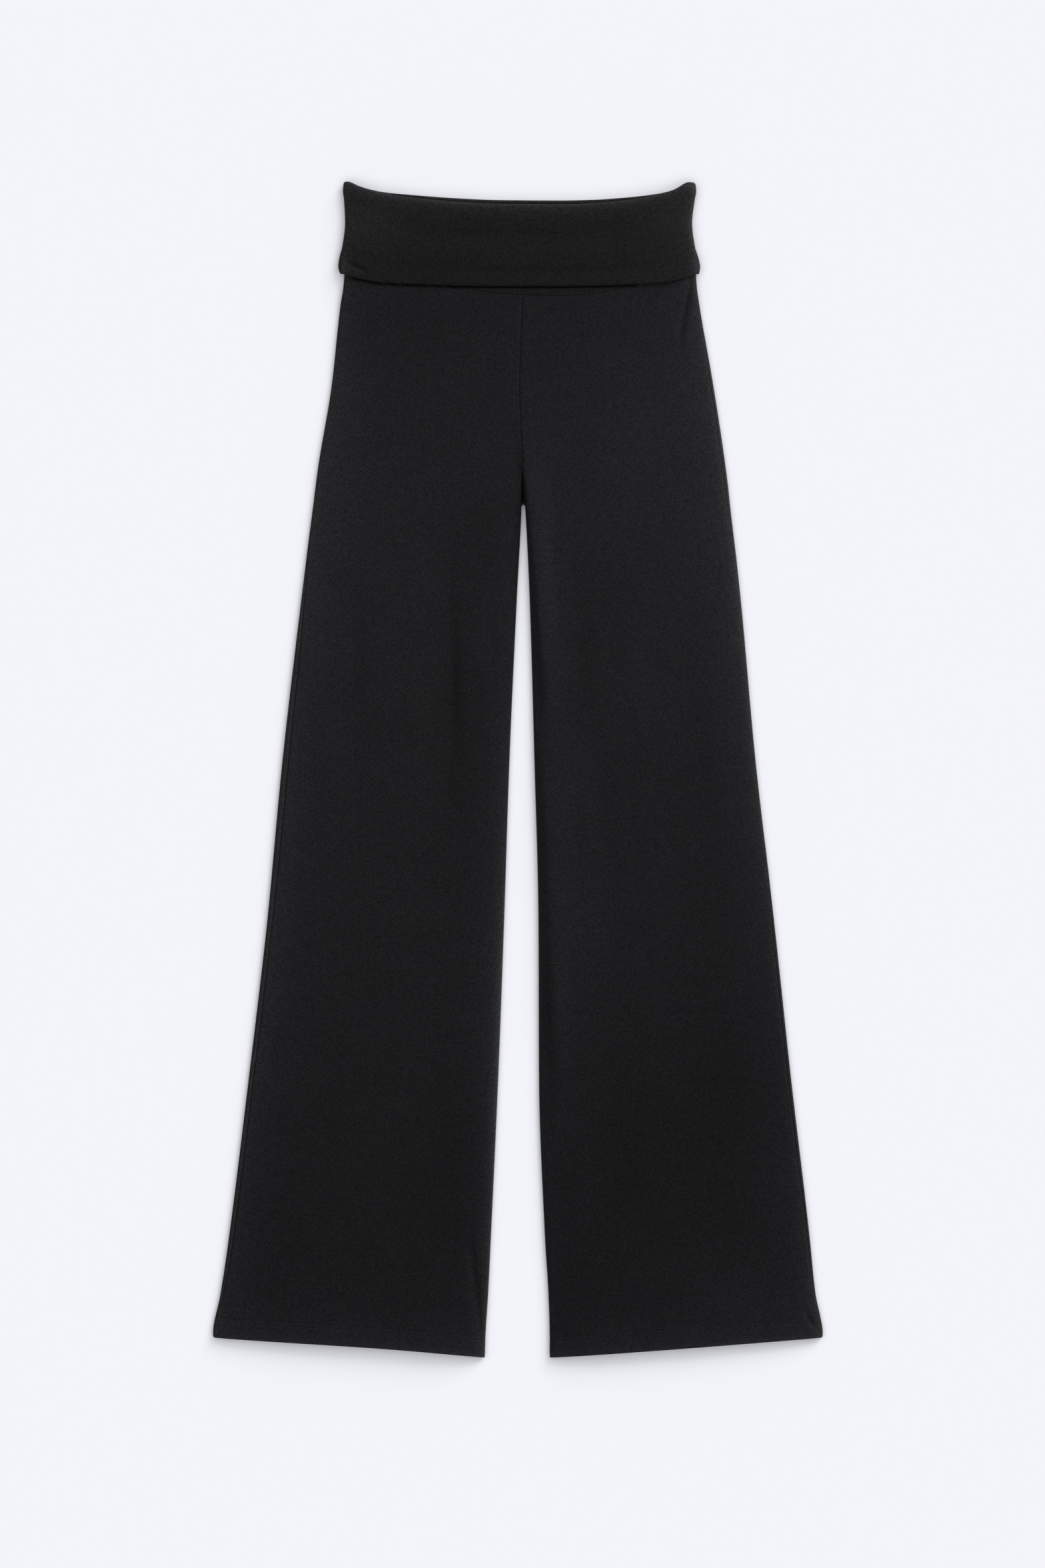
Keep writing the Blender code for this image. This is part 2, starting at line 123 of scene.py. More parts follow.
class SizeTable:
    """Columns of sizes by a place, such as a height along the garment, with a row for each section."""

    def __init__(self, columns: Sequence[str], rows: Sequence[Sequence[float]]) -> None:
        """Keeps the columns by name.

        Args:
            columns: The names, the place's first.
            rows: A row for each section, the places rising.
        """
        self.columns = dict(zip(columns, np.array(rows, dtype=float).T))
        self.places = self.columns[columns[0]]

    def at(self, column: str, place: Array) -> Array:
        """A column between its rows, on a smooth curve that never overshoots them.

        The curve is a cubic Hermite one. Its slope at a row is the harmonic mean of the chords on
        both sides, or 0 where they go opposite ways.

        Args:
            column: The column's name.
            place: Where it is read.

        Returns:
            The sizes there, held beyond the first and last rows.
        """
        knots, values = self.places, self.columns[column]
        chord = np.diff(values) / np.diff(knots)
        before, after = chord[:-1], chord[1:]
        same_way = before * after > 0
        total = np.where(same_way, before + after, 1.0)
        inside = np.where(same_way, 2 * before * after / total, 0.0)
        slope = np.concatenate((chord[:1], inside, chord[-1:]))
        row = np.clip(np.searchsorted(knots, place) - 1, 0, len(knots) - 2)
        span = knots[row + 1] - knots[row]
        t = np.clip((place - knots[row]) / span, 0.0, 1.0)
        ends = values[row] * (1 + 2 * t) * (1 - t) ** 2 + values[row + 1] * t ** 2 * (3 - 2 * t)
        return ends + span * t * (1 - t) * (slope[row] * (1 - t) - slope[row + 1] * t)


# The laid legs seen from above. Above the crotch both inner columns hold the centre seam.
OUTLINE = SizeTable(
    ("y", "outer_right", "inner_right", "inner_left", "outer_left"),
    (
        (-0.5660, -0.2933, -0.0317, 0.0304, 0.2933),
        (-0.5430, -0.2933, -0.0310, 0.0304, 0.2933),
        (-0.5035, -0.2862, -0.0285, 0.0292, 0.2862),
        (-0.4522, -0.2785, -0.0260, 0.0260, 0.2811),
        (-0.2984, -0.2593, -0.0189, 0.0202, 0.2631),
        (-0.1445, -0.2413, -0.0131, 0.0196, 0.2465),
        (0.0093, -0.2266, -0.0080, 0.0157, 0.2285),
        (0.1631, -0.2086, -0.0010, 0.0112, 0.2144),
        (0.2548, -0.1968, 0.0035, 0.0067, 0.2042),
        (0.2913, -0.1920, 0.0040, 0.0040, 0.1997),
        (0.3683, -0.1792, 0.0013, 0.0013, 0.1881),
        (0.4452, -0.1708, 0.0038, 0.0038, 0.1747),
        (0.4631, -0.1679, 0.0044, 0.0044, 0.1721),
        (0.4900, -0.1662, 0.0050, 0.0050, 0.1700),
        (0.5050, -0.1662, 0.0050, 0.0050, 0.1680),
    ),
)

# The front's crown: its height, and how far from an edge it reaches that height
CROWN = SizeTable(
    ("y", "height", "reach_outer", "reach_inner"),
    (
        (-0.5660, 0.0096, 0.120, 0.060),
        (-0.5200, 0.0080, 0.110, 0.060),
        (-0.4200, 0.0056, 0.075, 0.050),
        (-0.2000, 0.0048, 0.055, 0.045),
        (0.1500, 0.0052, 0.055, 0.045),
        (0.3000, 0.0050, 0.060, 0.045),
        (0.4600, 0.0041, 0.060, 0.050),
        (0.5700, 0.0047, 0.060, 0.060),
    ),
)

# How far up over the front the side seams lie, along the cloth from the side's widest point
SIDE_SEAM = SizeTable(
    ("y", "right", "left"),
    (
        (-0.5660, 0.0010, 0.0010),
        (-0.5450, 0.0012, 0.0010),
        (-0.5100, 0.0042, 0.0020),
        (-0.4600, 0.0061, 0.0042),
        (-0.3300, 0.0063, 0.0050),
        (-0.1600, 0.0068, 0.0044),
        (-0.0500, 0.0077, 0.0012),
        (0.0900, 0.0070, 0.0010),
        (0.1700, 0.0045, 0.0012),
        (0.2550, 0.0010, 0.0045),
        (0.3600, 0.0010, 0.0045),
        (0.4150, 0.0010, 0.0012),
        (0.4500, -0.0020, -0.0020),
        (0.5000, -0.0020, -0.0020),
    ),
)

# The waistband by its station across: the waist seam, the top fold and the fallen leaf's lower edge
BAND = SizeTable(
    ("x", "seam_front", "seam_back", "top_front", "top_back", "leaf_front", "leaf_back"),
    (
        (-0.1750, 0.4850, 0.4850, 0.5645, 0.5645, 0.4805, 0.4805),
        (-0.1640, 0.4850, 0.4850, 0.5650, 0.5650, 0.4755, 0.4770),
        (-0.1515, 0.4825, 0.4840, 0.5600, 0.5605, 0.4713, 0.4740),
        (-0.1300, 0.4780, 0.4820, 0.5532, 0.5553, 0.4676, 0.4710),
        (-0.1070, 0.4732, 0.4805, 0.5495, 0.5529, 0.4663, 0.4700),
        (-0.0542, 0.4631, 0.4780, 0.5447, 0.5490, 0.4646, 0.4690),
        (-0.0163, 0.4568, 0.4772, 0.5430, 0.5475, 0.4642, 0.4685),
        (0.0400, 0.4549, 0.4770, 0.5426, 0.5471, 0.4642, 0.4685),
        (0.0715, 0.4565, 0.4775, 0.5435, 0.5478, 0.4644, 0.4690),
        (0.1054, 0.4638, 0.4790, 0.5467, 0.5501, 0.4655, 0.4700),
        (0.1336, 0.4720, 0.4805, 0.5517, 0.5535, 0.4673, 0.4715),
        (0.1497, 0.4780, 0.4820, 0.5568, 0.5574, 0.4695, 0.4730),
        (0.1640, 0.4830, 0.4830, 0.5642, 0.5642, 0.4732, 0.4750),
        (0.1760, 0.4840, 0.4840, 0.5630, 0.5630, 0.4790, 0.4790),
    ),
)

# The outer edges of the fallen leaf, seen from above
LEAF_SIDE = SizeTable(
    ("y", "right", "left"),
    (
        (0.4750, -0.1705, 0.1740),
        (0.4830, -0.1728, 0.1753),
        (0.4901, -0.1721, 0.1740),
        (0.5029, -0.1689, 0.1702),
        (0.5253, -0.1663, 0.1676),
        (0.5480, -0.1674, 0.1702),
        (0.5554, -0.1683, 0.1715),
        (0.5680, -0.1672, 0.1700),
    ),
)

# How far the front's fallen leaf lifts off the standing leaf, by distance below the top fold
LEAF_LIFT = SizeTable(
    ("below_top", "lift"),
    (
        (0.000, 0.0014),
        (0.006, 0.0014),
        (0.022, 0.0001),
        (0.034, 0.0002),
        (0.048, 0.0013),
        (0.058, 0.0013),
        (0.066, 0.0005),
        (0.080, 0.0008),
    ),
)

# Painted light: how much lighter than the rest the cloth's colour is made towards the laid edges
EDGE_PAINTED_LIGHT = SizeTable(
    ("y", "outer_right", "inner_right", "inner_left", "outer_left"),
    (
        (-0.5660, 1.10, 0.25, 0.60, 0.60),
        (-0.4200, 1.05, 0.40, 0.50, 0.46),
        (-0.2800, 1.15, 0.80, 0.50, 0.18),
        (-0.1600, 1.20, 0.74, 0.60, 0.28),
        (-0.0300, 1.08, 0.44, 0.46, 0.42),
        (0.1000, 0.98, 0.10, 0.50, 0.60),
        (0.2400, 1.02, -0.15, 0.42, 0.76),
        (0.3500, 0.92, 0.00, 0.00, 0.80),
        (0.4300, 0.80, 0.00, 0.00, 0.60),
        (0.4900, 0.45, 0.00, 0.00, 0.48),
        (0.5700, 0.50, 0.00, 0.00, 0.50),
    ),
)

# Painted highlight: how much more it is lightened in the last few millimetres, where the cloth turns over
RIM_PAINTED_LIGHT = SizeTable(
    ("y", "outer_right", "inner_right", "inner_left", "outer_left"),
    (
        (-0.5660, 1.30, 1.50, 0.80, 1.00),
        (-0.4200, 1.40, 1.90, 0.60, 1.20),
        (-0.2800, 1.30, 2.20, 0.30, 1.60),
        (-0.1600, 0.75, 1.60, 0.15, 1.30),
        (-0.0300, 0.95, 0.50, -0.10, 1.30),
        (0.1000, 1.15, 0.00, -0.25, 1.60),
        (0.2400, 1.25, -0.35, 0.00, 2.00),
        (0.4300, 1.10, 0.00, 0.00, 1.40),
        (0.5700, 1.10, 0.00, 0.00, 1.10),
    ),
)

# Broad patches of painted light, which are lighter, and of painted shade, which are darker
# Columns: x, y, reach across, reach along, amount
PAINTED_LIGHT_PATCHES = (
    # wearer's right leg
    (-0.1360, 0.2200, 0.045, 0.130, 0.06),
    (-0.1660, 0.2900, 0.018, 0.100, 0.10),
    (-0.0500, 0.0400, 0.034, 0.150, -0.17),
    (-0.0300, 0.2250, 0.018, 0.050, -0.11),
    (-0.0900, 0.0550, 0.022, 0.036, -0.06),
    (-0.0560, -0.3820, 0.030, 0.090, -0.12),
    (-0.2100, -0.5200, 0.060, 0.024, 0.07),
    (-0.0700, 0.4400, 0.070, 0.022, -0.07),
    # wearer's left leg
    (0.1200, 0.3300, 0.065, 0.110, 0.17),
    (0.0300, 0.2100, 0.007, 0.070, 0.12),
    (0.0640, 0.1050, 0.014, 0.060, -0.10),
    (0.0420, -0.2400, 0.008, 0.110, 0.12),
    (0.0660, -0.1600, 0.020, 0.040, 0.09),
    (0.0890, 0.1700, 0.020, 0.090, -0.07),
    (0.1210, 0.0830, 0.014, 0.060, 0.09),
    (0.1500, -0.0130, 0.055, 0.070, -0.09),
    (0.1850, -0.1250, 0.045, 0.070, -0.08),
    (0.1020, -0.3500, 0.032, 0.130, -0.15),
    (0.1900, -0.3180, 0.060, 0.110, -0.16),
    (0.2120, -0.5060, 0.052, 0.032, 0.14),
    # band
    (-0.1470, 0.5270, 0.034, 0.038, 0.40),
    (0.1250, 0.4780, 0.030, 0.014, 0.12),
    (0.1500, 0.5320, 0.034, 0.030, 0.22),
    (0.0000, 0.5160, 0.110, 0.010, -0.07),
)


@dataclass(frozen=True)
class Crease:
    """A soft ridge, or a trough where its height is below 0, along a bowed line."""

    x_top: float
    y_top: float
    x_low: float
    y_low: float
    bow: float  # how far the line's middle stands off the straight one, towards +X on a line that runs down
    width: float  # of the flank towards -X, or towards -Y on a line that runs across
    far_width: float  # of the other flank
    height: float
    fade: float = 0.35  # share of the length over which each end dies away
    calm: float = 0.018  # it dies away this near to an edge of the cloth

    def relief(self, x: Array, y: Array, from_edge: Array) -> Array:
        """Its height: height × ends × exp(−u²), where u is the distance across in the flank's widths.

        Args:
            x: Places across.
            y: Places along.
            from_edge: Each place's distance from the nearest edge of the laid cloth.

        Returns:
            The heights, as large as x.
        """
        run_x, run_y = self.x_low - self.x_top, self.y_low - self.y_top
        length = math.hypot(run_x, run_y)
        from_x, from_y = x - self.x_top, y - self.y_top
        along = (from_x * run_x + from_y * run_y) / length ** 2
        across = (from_y * run_x - from_x * run_y) / length - 4 * self.bow * along * (1 - along)
        ends = ease(along, 0.0, self.fade) * ease(1 - along, 0.0, self.fade)
        u = across / np.where(across < 0, self.width, self.far_width)
        return self.height * ends * np.exp(-(u ** 2)) * ease(from_edge, 0.0, self.calm)


def creases(rows: Sequence[Sequence[float]]) -> tuple[Crease, ...]:
    """Creases from a table whose columns are Crease's own fields."""
    return tuple(Crease(*row) for row in rows)


# Columns: x_top, y_top, x_low, y_low, bow, width, far_width, height, fade, calm
FRONT_CREASES = creases((
    # wearer's right leg
    (-0.1600, 0.2300, -0.1600, -0.0400, 0.0000, 0.0240, 0.0150, -0.0018, 0.45),
    (-0.0705, 0.2600, -0.0680, -0.0700, 0.0030, 0.0240, 0.0090, -0.0024, 0.45),
    (-0.0605, 0.1500, -0.0620, 0.0000, 0.0000, 0.0060, 0.0060, -0.0006, 0.40),
    (-0.0255, 0.1900, -0.0245, 0.0750, 0.0000, 0.0100, 0.0070, -0.0009, 0.45),
    (-0.1020, 0.1300, -0.0995, 0.0150, 0.0010, 0.0120, 0.0120, 0.0006, 0.40),
    # wearer's left leg
    (0.0040, 0.3450, 0.0320, 0.0200, 0.0000, 0.0060, 0.0140, 0.0049, 0.30, 0.002),
    (0.0220, 0.1200, 0.0400, -0.3600, 0.0000, 0.0080, 0.0180, 0.0042, 0.35, 0.002),
    (0.0480, 0.2500, 0.0600, 0.0600, 0.0020, 0.0120, 0.0100, -0.0010, 0.45),
    (0.0555, 0.0200, 0.0565, -0.1350, 0.0010, 0.0060, 0.0055, -0.0007, 0.45),
    (0.0630, 0.0900, 0.0920, -0.1900, 0.0030, 0.0150, 0.0130, -0.0015, 0.45),
    (0.1000, 0.1000, 0.1004, 0.0300, 0.0000, 0.0070, 0.0055, -0.0007, 0.45),
    (0.1180, 0.1300, 0.1300, -0.1700, -0.0020, 0.0090, 0.0140, 0.0007, 0.45),
    (0.1550, 0.1900, 0.1790, -0.1600, 0.0030, 0.0180, 0.0140, -0.0015, 0.45),
    # under the band
    (0.1470, 0.4690, 0.1060, 0.4420, 0.0000, 0.0034, 0.0034, -0.0024, 0.30, 0.010),
    (0.1310, 0.4660, 0.0940, 0.4440, 0.0000, 0.0030, 0.0030, -0.0016, 0.30, 0.010),
    (0.1685, 0.4840, 0.1525, 0.4000, -0.0004, 0.0026, 0.0034, -0.0027, 0.28, 0.002),
    (0.1720, 0.4780, 0.1620, 0.4000, 0.0000, 0.0034, 0.0034, 0.0006, 0.35, 0.004),
    # in the hollow under the fallen leaf's edge
    (-0.1300, 0.4666, 0.1340, 0.4663, -0.0033, 0.0016, 0.0016, -0.0010, 0.15, 0.010),
    # corners of the hems
    (-0.0485, -0.4400, -0.0352, -0.5620, 0.0020, 0.0045, 0.0030, -0.0020, 0.30, 0.004),
    (-0.2810, -0.4980, -0.2845, -0.5380, 0.0000, 0.0060, 0.0060, -0.0008, 0.40, 0.004),
    (0.2730, -0.5160, 0.2860, -0.5390, 0.0000, 0.0022, 0.0022, -0.0014, 0.30, 0.004),
    (0.0460, -0.5330, 0.0400, -0.5600, 0.0000, 0.0040, 0.0040, -0.0006, 0.40, 0.004),
    # faint lines across, pressed in where the legs were folded up
    (-0.1870, -0.1150, -0.1570, -0.1165, 0.0000, 0.0030, 0.0030, -0.0003, 0.40),
    (-0.1830, -0.1860, -0.1450, -0.1850, 0.0000, 0.0030, 0.0030, -0.0003, 0.40),
    (-0.1340, -0.4070, -0.0950, -0.4080, 0.0000, 0.0030, 0.0030, -0.0003, 0.40),
    (0.1430, -0.2980, 0.2300, -0.3032, 0.0000, 0.0034, 0.0034, -0.0004, 0.35),
    (0.2180, -0.3860, 0.2500, -0.3875, 0.0000, 0.0030, 0.0030, -0.0003, 0.40),
))

# The back is pressed flat on the surface, so its creases only lift it off
BACK_CREASES = creases((
    (-0.1500, 0.2150, -0.1580, 0.0200, 0.0030, 0.0090, 0.0120, 0.0011),
    (-0.0830, 0.1500, -0.0780, -0.1200, -0.0030, 0.0080, 0.0060, 0.0013),
    (-0.1950, -0.1600, -0.2140, -0.3300, 0.0020, 0.0100, 0.0070, 0.0008),
    (-0.0600, -0.2500, -0.0750, -0.4200, 0.0030, 0.0090, 0.0120, 0.0009),
    (0.0500, 0.2350, 0.0850, -0.0200, 0.0040, 0.0070, 0.0120, 0.0013),
    (0.1280, 0.1300, 0.1400, -0.0900, -0.0020, 0.0080, 0.0080, 0.0010),
    (0.1900, -0.0500, 0.2120, -0.2900, 0.0030, 0.0100, 0.0140, 0.0008),
    (0.1050, -0.3000, 0.1180, -0.4700, -0.0020, 0.0090, 0.0070, 0.0009),
    (-0.0600, 0.4000, -0.0200, 0.3200, 0.0020, 0.0080, 0.0080, 0.0008),
    (0.0700, 0.4050, 0.0300, 0.3350, -0.0020, 0.0080, 0.0060, 0.0007),
))

# On the fallen leaves. A line across runs from the wearer's right to the left.
LEAF_CREASES = {
    Layer.FRONT: creases((
        (-0.0850, 0.4775, 0.1550, 0.4790, 0.0000, 0.0050, 0.0035, -0.0006, 0.30, 0.010),
        (-0.1350, 0.5225, 0.1500, 0.5250, -0.0120, 0.0120, 0.0080, -0.0021, 0.30, 0.010),
        (-0.0800, 0.4925, 0.0020, 0.4940, 0.0000, 0.0070, 0.0080, 0.0005, 0.40, 0.010),
        (-0.1655, 0.4864, -0.1425, 0.4764, 0.0004, 0.0022, 0.0024, -0.0021, 0.30, 0.002),
        (0.0800, 0.5050, 0.1250, 0.4980, 0.0000, 0.0070, 0.0080, 0.0005, 0.40, 0.010),
    )),
    Layer.BACK: (),
}


@dataclass(frozen=True)
class LaidTube:
    """The tube of cloth that the trousers make where they lie, which all six pieces are parts of."""

    turn_radius: float = 0.0028  # outer radius where the tube turns at its sides
    leg_cloth: float = 0.0012
    band_cloth: float = 0.0016
    seam_gap: float = 0.00004
    seam_lean: float = 0.00012  # how far a rise seam stands off the centre line, the two apart
    lean_length: float = 0.0016  # how soon above the crotch it does
    leaf_step: float = 0.0019  # between the middles of the band's standing leaf and its fallen leaf
    top_roll: float = 0.0012  # how much further those leaves part at the top fold
    top_roll_length: float = 0.014
    crotch_y: float = 0.2548
    wedge_top_y: float = 0.2894  # the rise seams run flat above this and dive to the crotch below it
    arch_length: float = 0.0016  # how soon the gap between the legs opens to its full width
    ramp_y: tuple[float, float] = (0.436, 0.458)  # where the back climbs onto the fallen leaf below it
    band_side_y: tuple[float, float] = (0.485, 0.505)  # where the sides turn from the legs' to the band's
    band_corner_y: float = 0.5640
    own_crown_y: tuple[float, float] = (0.20, 0.31)  # a crown for each leg below, a shared one above
    front_ramp_y: tuple[float, float] = (0.375, 0.490)  # where the front climbs, but for its outer edges
    crown_broad: float = 0.6  # share of the crown that rises over its whole reach
    crown_shoulder: float = 0.007  # how soon the rest of it rises at an edge
    ramp_reach: float = 0.03  # how far in from the outer edges the front's longer climb is full
    rise_dip: float = 0.0004  # how far the rise seams sink
    rise_width: float = 0.0015
    wedge_dip: float = 0.0040  # and how far the front one does in the dark wedge above the crotch
    wedge_width: float = 0.0025
    wedge_top_width: float = 0.0002
    wedge_end: float = 0.0020  # how soon the wedge rises again to meet the inseams
    fold_shade: float = 0.93  # painted shade: how much darker the cloth's colour is made in the wedge and under the leaf
    leaf_shade_drop: float = 0.0008  # from the leaf's edge down to the darkest line under it
    leaf_shade_width: float = 0.0012
    leaf_shade_start: tuple[float, float] = (-0.168, -0.158)
    leaf_shade_thins: tuple[float, float] = (0.110, 0.128)
    leaf_shade_end: tuple[float, float] = (0.150, 0.172)
    leaf_shade_loss: float = 0.45  # how much of it goes where it thins
    end_nap: float = 0.55  # painted light at the hem and the top fold, the same as the edge table's
    outer_nap_reach: float = 0.020
    inner_nap_reach: float = 0.009
    rim_light_reach: float = 0.003
    end_rim_nap: float = 0.70  # painted highlight at the hem and the top fold, the same as the rim table's
    broad_span: float = 0.070
    broad_height: float = 0.00030
    small_span: float = 0.024
    small_height: float = 0.00010
    calm_reach: float = 0.02  # those ups and downs die away this near to an edge
    back_rest: float = 0.004  # the back's rim rests flat this far in
    front_seed: int = 11
    back_seed: int = 31

    @property
    def step(self) -> float:
        """From the middle of a leg's cloth to the middle of the fallen leaf on it."""
        return self.leaf_step + (self.band_cloth - self.leg_cloth) / 2

    def outer_edge(self, side: Side, y: Array) -> Array:
        """The tube's outer edge: the leg's, and above the waist seam the standing leaf's.

        Args:
            side: Which side.
            y: Places along.

        Returns:
            x of the widest point.
        """
        leg = OUTLINE.at("outer_" + side.word, y)
        roll = self.top_roll * (1 - ease(self.band_corner_y - y, 0.0, self.top_roll_length))
        inside_leaf = LEAF_SIDE.at(side.word, y) - side.value * (self.step + roll)
        return leg + (inside_leaf - leg) * ease(y, *self.band_side_y)

    def seam_turn(self, y: Array) -> Array:
        """How far the rise seam has turned down: 0 where it lies flat, a quarter turn at the crotch."""
        return math.pi / 2 * (1 - ease(y, self.crotch_y, self.wedge_top_y))

    def inner_edge(self, side: Side, y: Array, lean: float = 0.0) -> Array:
        """The widest point of a leg's inner side, or where it would be under the rise seam.

        Below the crotch the gap opens as √(distance / arch_length). Above it the cloth turns by the
        seam's angle, so that its edge stays on the seam's line.

        Args:
            side: Which leg.
            y: Places along.
            lean: How far the rise seam's line stands off the centre.

        Returns:
            x of that point.
        """
        centre = (OUTLINE.at("inner_right", y) + OUTLINE.at("inner_left", y)) / 2
        centre = centre + lean * ease(y, self.crotch_y, self.crotch_y + self.lean_length)
        meeting = centre + side.value * self.seam_gap / 2
        rise = meeting - side.value * self.turn_radius * (1 - np.sin(self.seam_turn(y)))
        leg = OUTLINE.at("inner_" + side.word, y)
        opened = np.sqrt(np.clip((self.crotch_y - y) / self.arch_length, 0.0, 1.0))
        return np.where(y >= self.crotch_y, rise, meeting + (leg - meeting) * opened)

    def floor_height(self, y: Array) -> Array:
        """Height of the back's outer face: on the surface, then up on the fallen leaf by the waist."""
        return self.step * ease(y, *self.ramp_y)

    def from_edges(self, x: Array, y: Array) -> tuple[Array, Array]:
        """Distances in from the outer edges and from the edges between the legs.

        Args:
            x: Places across.
            y: Places along.

        Returns:
            The distance from the nearest outer edge, and from the nearest inner one.
        """
        outer = np.minimum(x - self.outer_edge(Side.RIGHT, y), self.outer_edge(Side.LEFT, y) - x)
        inner = np.maximum(self.inner_edge(Side.RIGHT, y) - x, x - self.inner_edge(Side.LEFT, y))
        return outer, inner

    def from_own_edges(self, x: Array, y: Array) -> tuple[Array, Array, Array, Array]:
        """Distances from the edges that the crown and the creases heed.

        Args:
            x: Places across.
            y: Places along.

        Returns:
            The distances of from_edges, the share of a leg's own crown in the shared one, and the
            distance from the nearest edge of what the crown spans.
        """
        outer, inner = self.from_edges(x, y)
        own = 1 - ease(y, *self.own_crown_y)
        return outer, inner, own, np.where(own > 0.5, np.minimum(outer, inner), outer)

    def uneven(self, x: Array, y: Array, seed: int) -> Array:
        """The small ups and downs that cloth keeps where it lies smooth."""
        broad = self.broad_height * unevenness(x, y, self.broad_span, seed)
        return broad + self.small_height * unevenness(x, y, self.small_span, seed + 1)

    def from_rise(self, x: Array, y: Array) -> Array:
        """Distances from the line of the rise seams."""
        return x - (OUTLINE.at("inner_right", y) + OUTLINE.at("inner_left", y)) / 2

    def seam_dip(self, x: Array, y: Array) -> Array:
        """How far the cloth sinks along a rise seam: dip × exp(−(distance / width)²)."""
        dip = self.rise_dip * ease(y, self.crotch_y, self.wedge_top_y)
        return dip * np.exp(-((self.from_rise(x, y) / self.rise_width) ** 2))

    def wedge(self, x: Array, y: Array) -> Array:
        """The wedge above the crotch: 1 on its line, which widens from 0 at its top.

        It is exp(−(distance / (width × √t))⁶), where t is the share of the way down from its top,
        and it is eased in over the first quarter of that way.

        Args:
            x: Places across.
            y: Places along.

        Returns:
            From 0 to 1.
        """
        down = np.clip((self.wedge_top_y - y) / (self.wedge_top_y - self.crotch_y), 0.0, 1.0)
        width = self.wedge_width * np.sqrt(down) + self.wedge_top_width
        return np.exp(-((self.from_rise(x, y) / width) ** 6)) * ease(down, 0.0, 0.25)

    def shoulder(self, distance: Array, reach: Array) -> Array:
        """Rises from 0 at an edge to 1, for the most part over the reach and else at the shoulder.

        It is share × sin(90° × distance / reach) + (1 − share) × (1 − exp(−distance / shoulder)).

        Args:
            distance: Distances in from the edge.
            reach: How far in it is 1.

        Returns:
            From 0 to 1, as large as distance.
        """
        away = np.clip(distance, 0.0, None)
        broad = np.sin(math.pi / 2 * np.minimum(away / reach, 1.0))
        return self.crown_broad * broad + (1 - self.crown_broad) * (1 - np.exp(-away / self.crown_shoulder))

    def front_height(self, x: Array, y: Array) -> Array:
        """Height of the front's outer face: floor + 2 radii + crown + creases − the rise seam's dip.

        The crown is its height times the shoulder at the outer edges and, on the legs, times that at
        the inner ones too. Away from the outer edges the floor's climb by the waist is spread over a
        longer way.

        Args:
            x: Places across.
            y: Places along.

        Returns:
            The heights, as large as x.
        """
        outer, inner, own, from_edge = self.from_own_edges(x, y)
        crown = CROWN.at("height", y) * self.shoulder(outer, CROWN.at("reach_outer", y))
        crown = crown * (1 - own + own * self.shoulder(inner, CROWN.at("reach_inner", y)))
        relief = sum(crease.relief(x, y, from_edge) for crease in FRONT_CREASES)
        uneven = self.uneven(x, y, self.front_seed) * ease(from_edge, 0.0, self.calm_reach)
        relief = relief + uneven - self.seam_dip(x, y)
        relief = relief - self.wedge_dip * self.wedge(x, y) * ease(y - self.crotch_y, 0.0, self.wedge_end)
        floor = self.floor_height(y)
        spread = (self.step * ease(y, *self.front_ramp_y) - floor) * ease(outer, 0.0, self.ramp_reach)
        return floor + spread + 2 * self.turn_radius + crown + relief

    def back_height(self, x: Array, y: Array) -> Array:
        """Height of the back's outer face: the floor, and creases and ups that lift off it.

        Args:
            x: Places across.
            y: Places along.

        Returns:
            The heights, as large as x.
        """
        from_edge = self.from_own_edges(x, y)[3]
        lift = sum(crease.relief(x, y, from_edge) for crease in BACK_CREASES)
        uneven = np.abs(self.uneven(x, y, self.back_seed)) * ease(from_edge, self.back_rest, self.calm_reach)
        lift = lift + uneven + self.seam_dip(x, y)
        return self.floor_height(y) + np.maximum(lift, 0.0)

    def nap(self, x: Array, y: Array, from_end: Array, shaded: Array | float) -> Array:
        """Painted light and shade on the cloth's colour: patches, and the sum of the edge tables × exp(−d /
        reach).

        d is the distance from the nearest outer edge, from the nearest inner one, and from the end.
        Painted shade darkens the cloth in the wedge above the crotch and under the leaf.

        Args:
            x: Places across.
            y: Places along.
            from_end: Distances from the hem or the top fold.
            shaded: 1 where the wedge's and the leaf edge's painted shade goes, on top, and 0 elsewhere.

        Returns:
            The painted light, 1 where it makes the cloth twice as light, and below 0 where painted shade
            darkens it.
        """
        right = x < (self.inner_edge(Side.RIGHT, y) + self.inner_edge(Side.LEFT, y)) / 2
        beyond = np.clip(from_end, 0.0, None)
        nap = self.end_nap * np.exp(-beyond / self.outer_nap_reach)
        nap = nap + self.end_rim_nap * np.exp(-beyond / self.rim_light_reach)
        edges = zip(("outer", "inner"), (self.outer_nap_reach, self.inner_nap_reach), self.from_edges(x, y))
        for edge, edge_reach, distance in edges:
            for table, reach in ((EDGE_PAINTED_LIGHT, edge_reach), (RIM_PAINTED_LIGHT, self.rim_light_reach)):
                amount = np.where(right, table.at(edge + "_right", y), table.at(edge + "_left", y))
                nap = nap + amount * np.exp(-np.clip(distance, 0.0, None) / reach)
        # Patches of painted light and painted shade
        for at_x, at_y, across, along, amount in PAINTED_LIGHT_PATCHES:
            nap = nap + amount * np.exp(-(((x - at_x) / across) ** 2) - ((y - at_y) / along) ** 2)
        # Painted shade in the wedge above the crotch and in the hollow under the fallen leaf
        painted_shade = np.maximum(self.wedge(x, y) * (y > self.crotch_y), self.leaf_shadow_mask(x, y)) * shaded
        return nap * (1 - painted_shade) - self.fold_shade * painted_shade

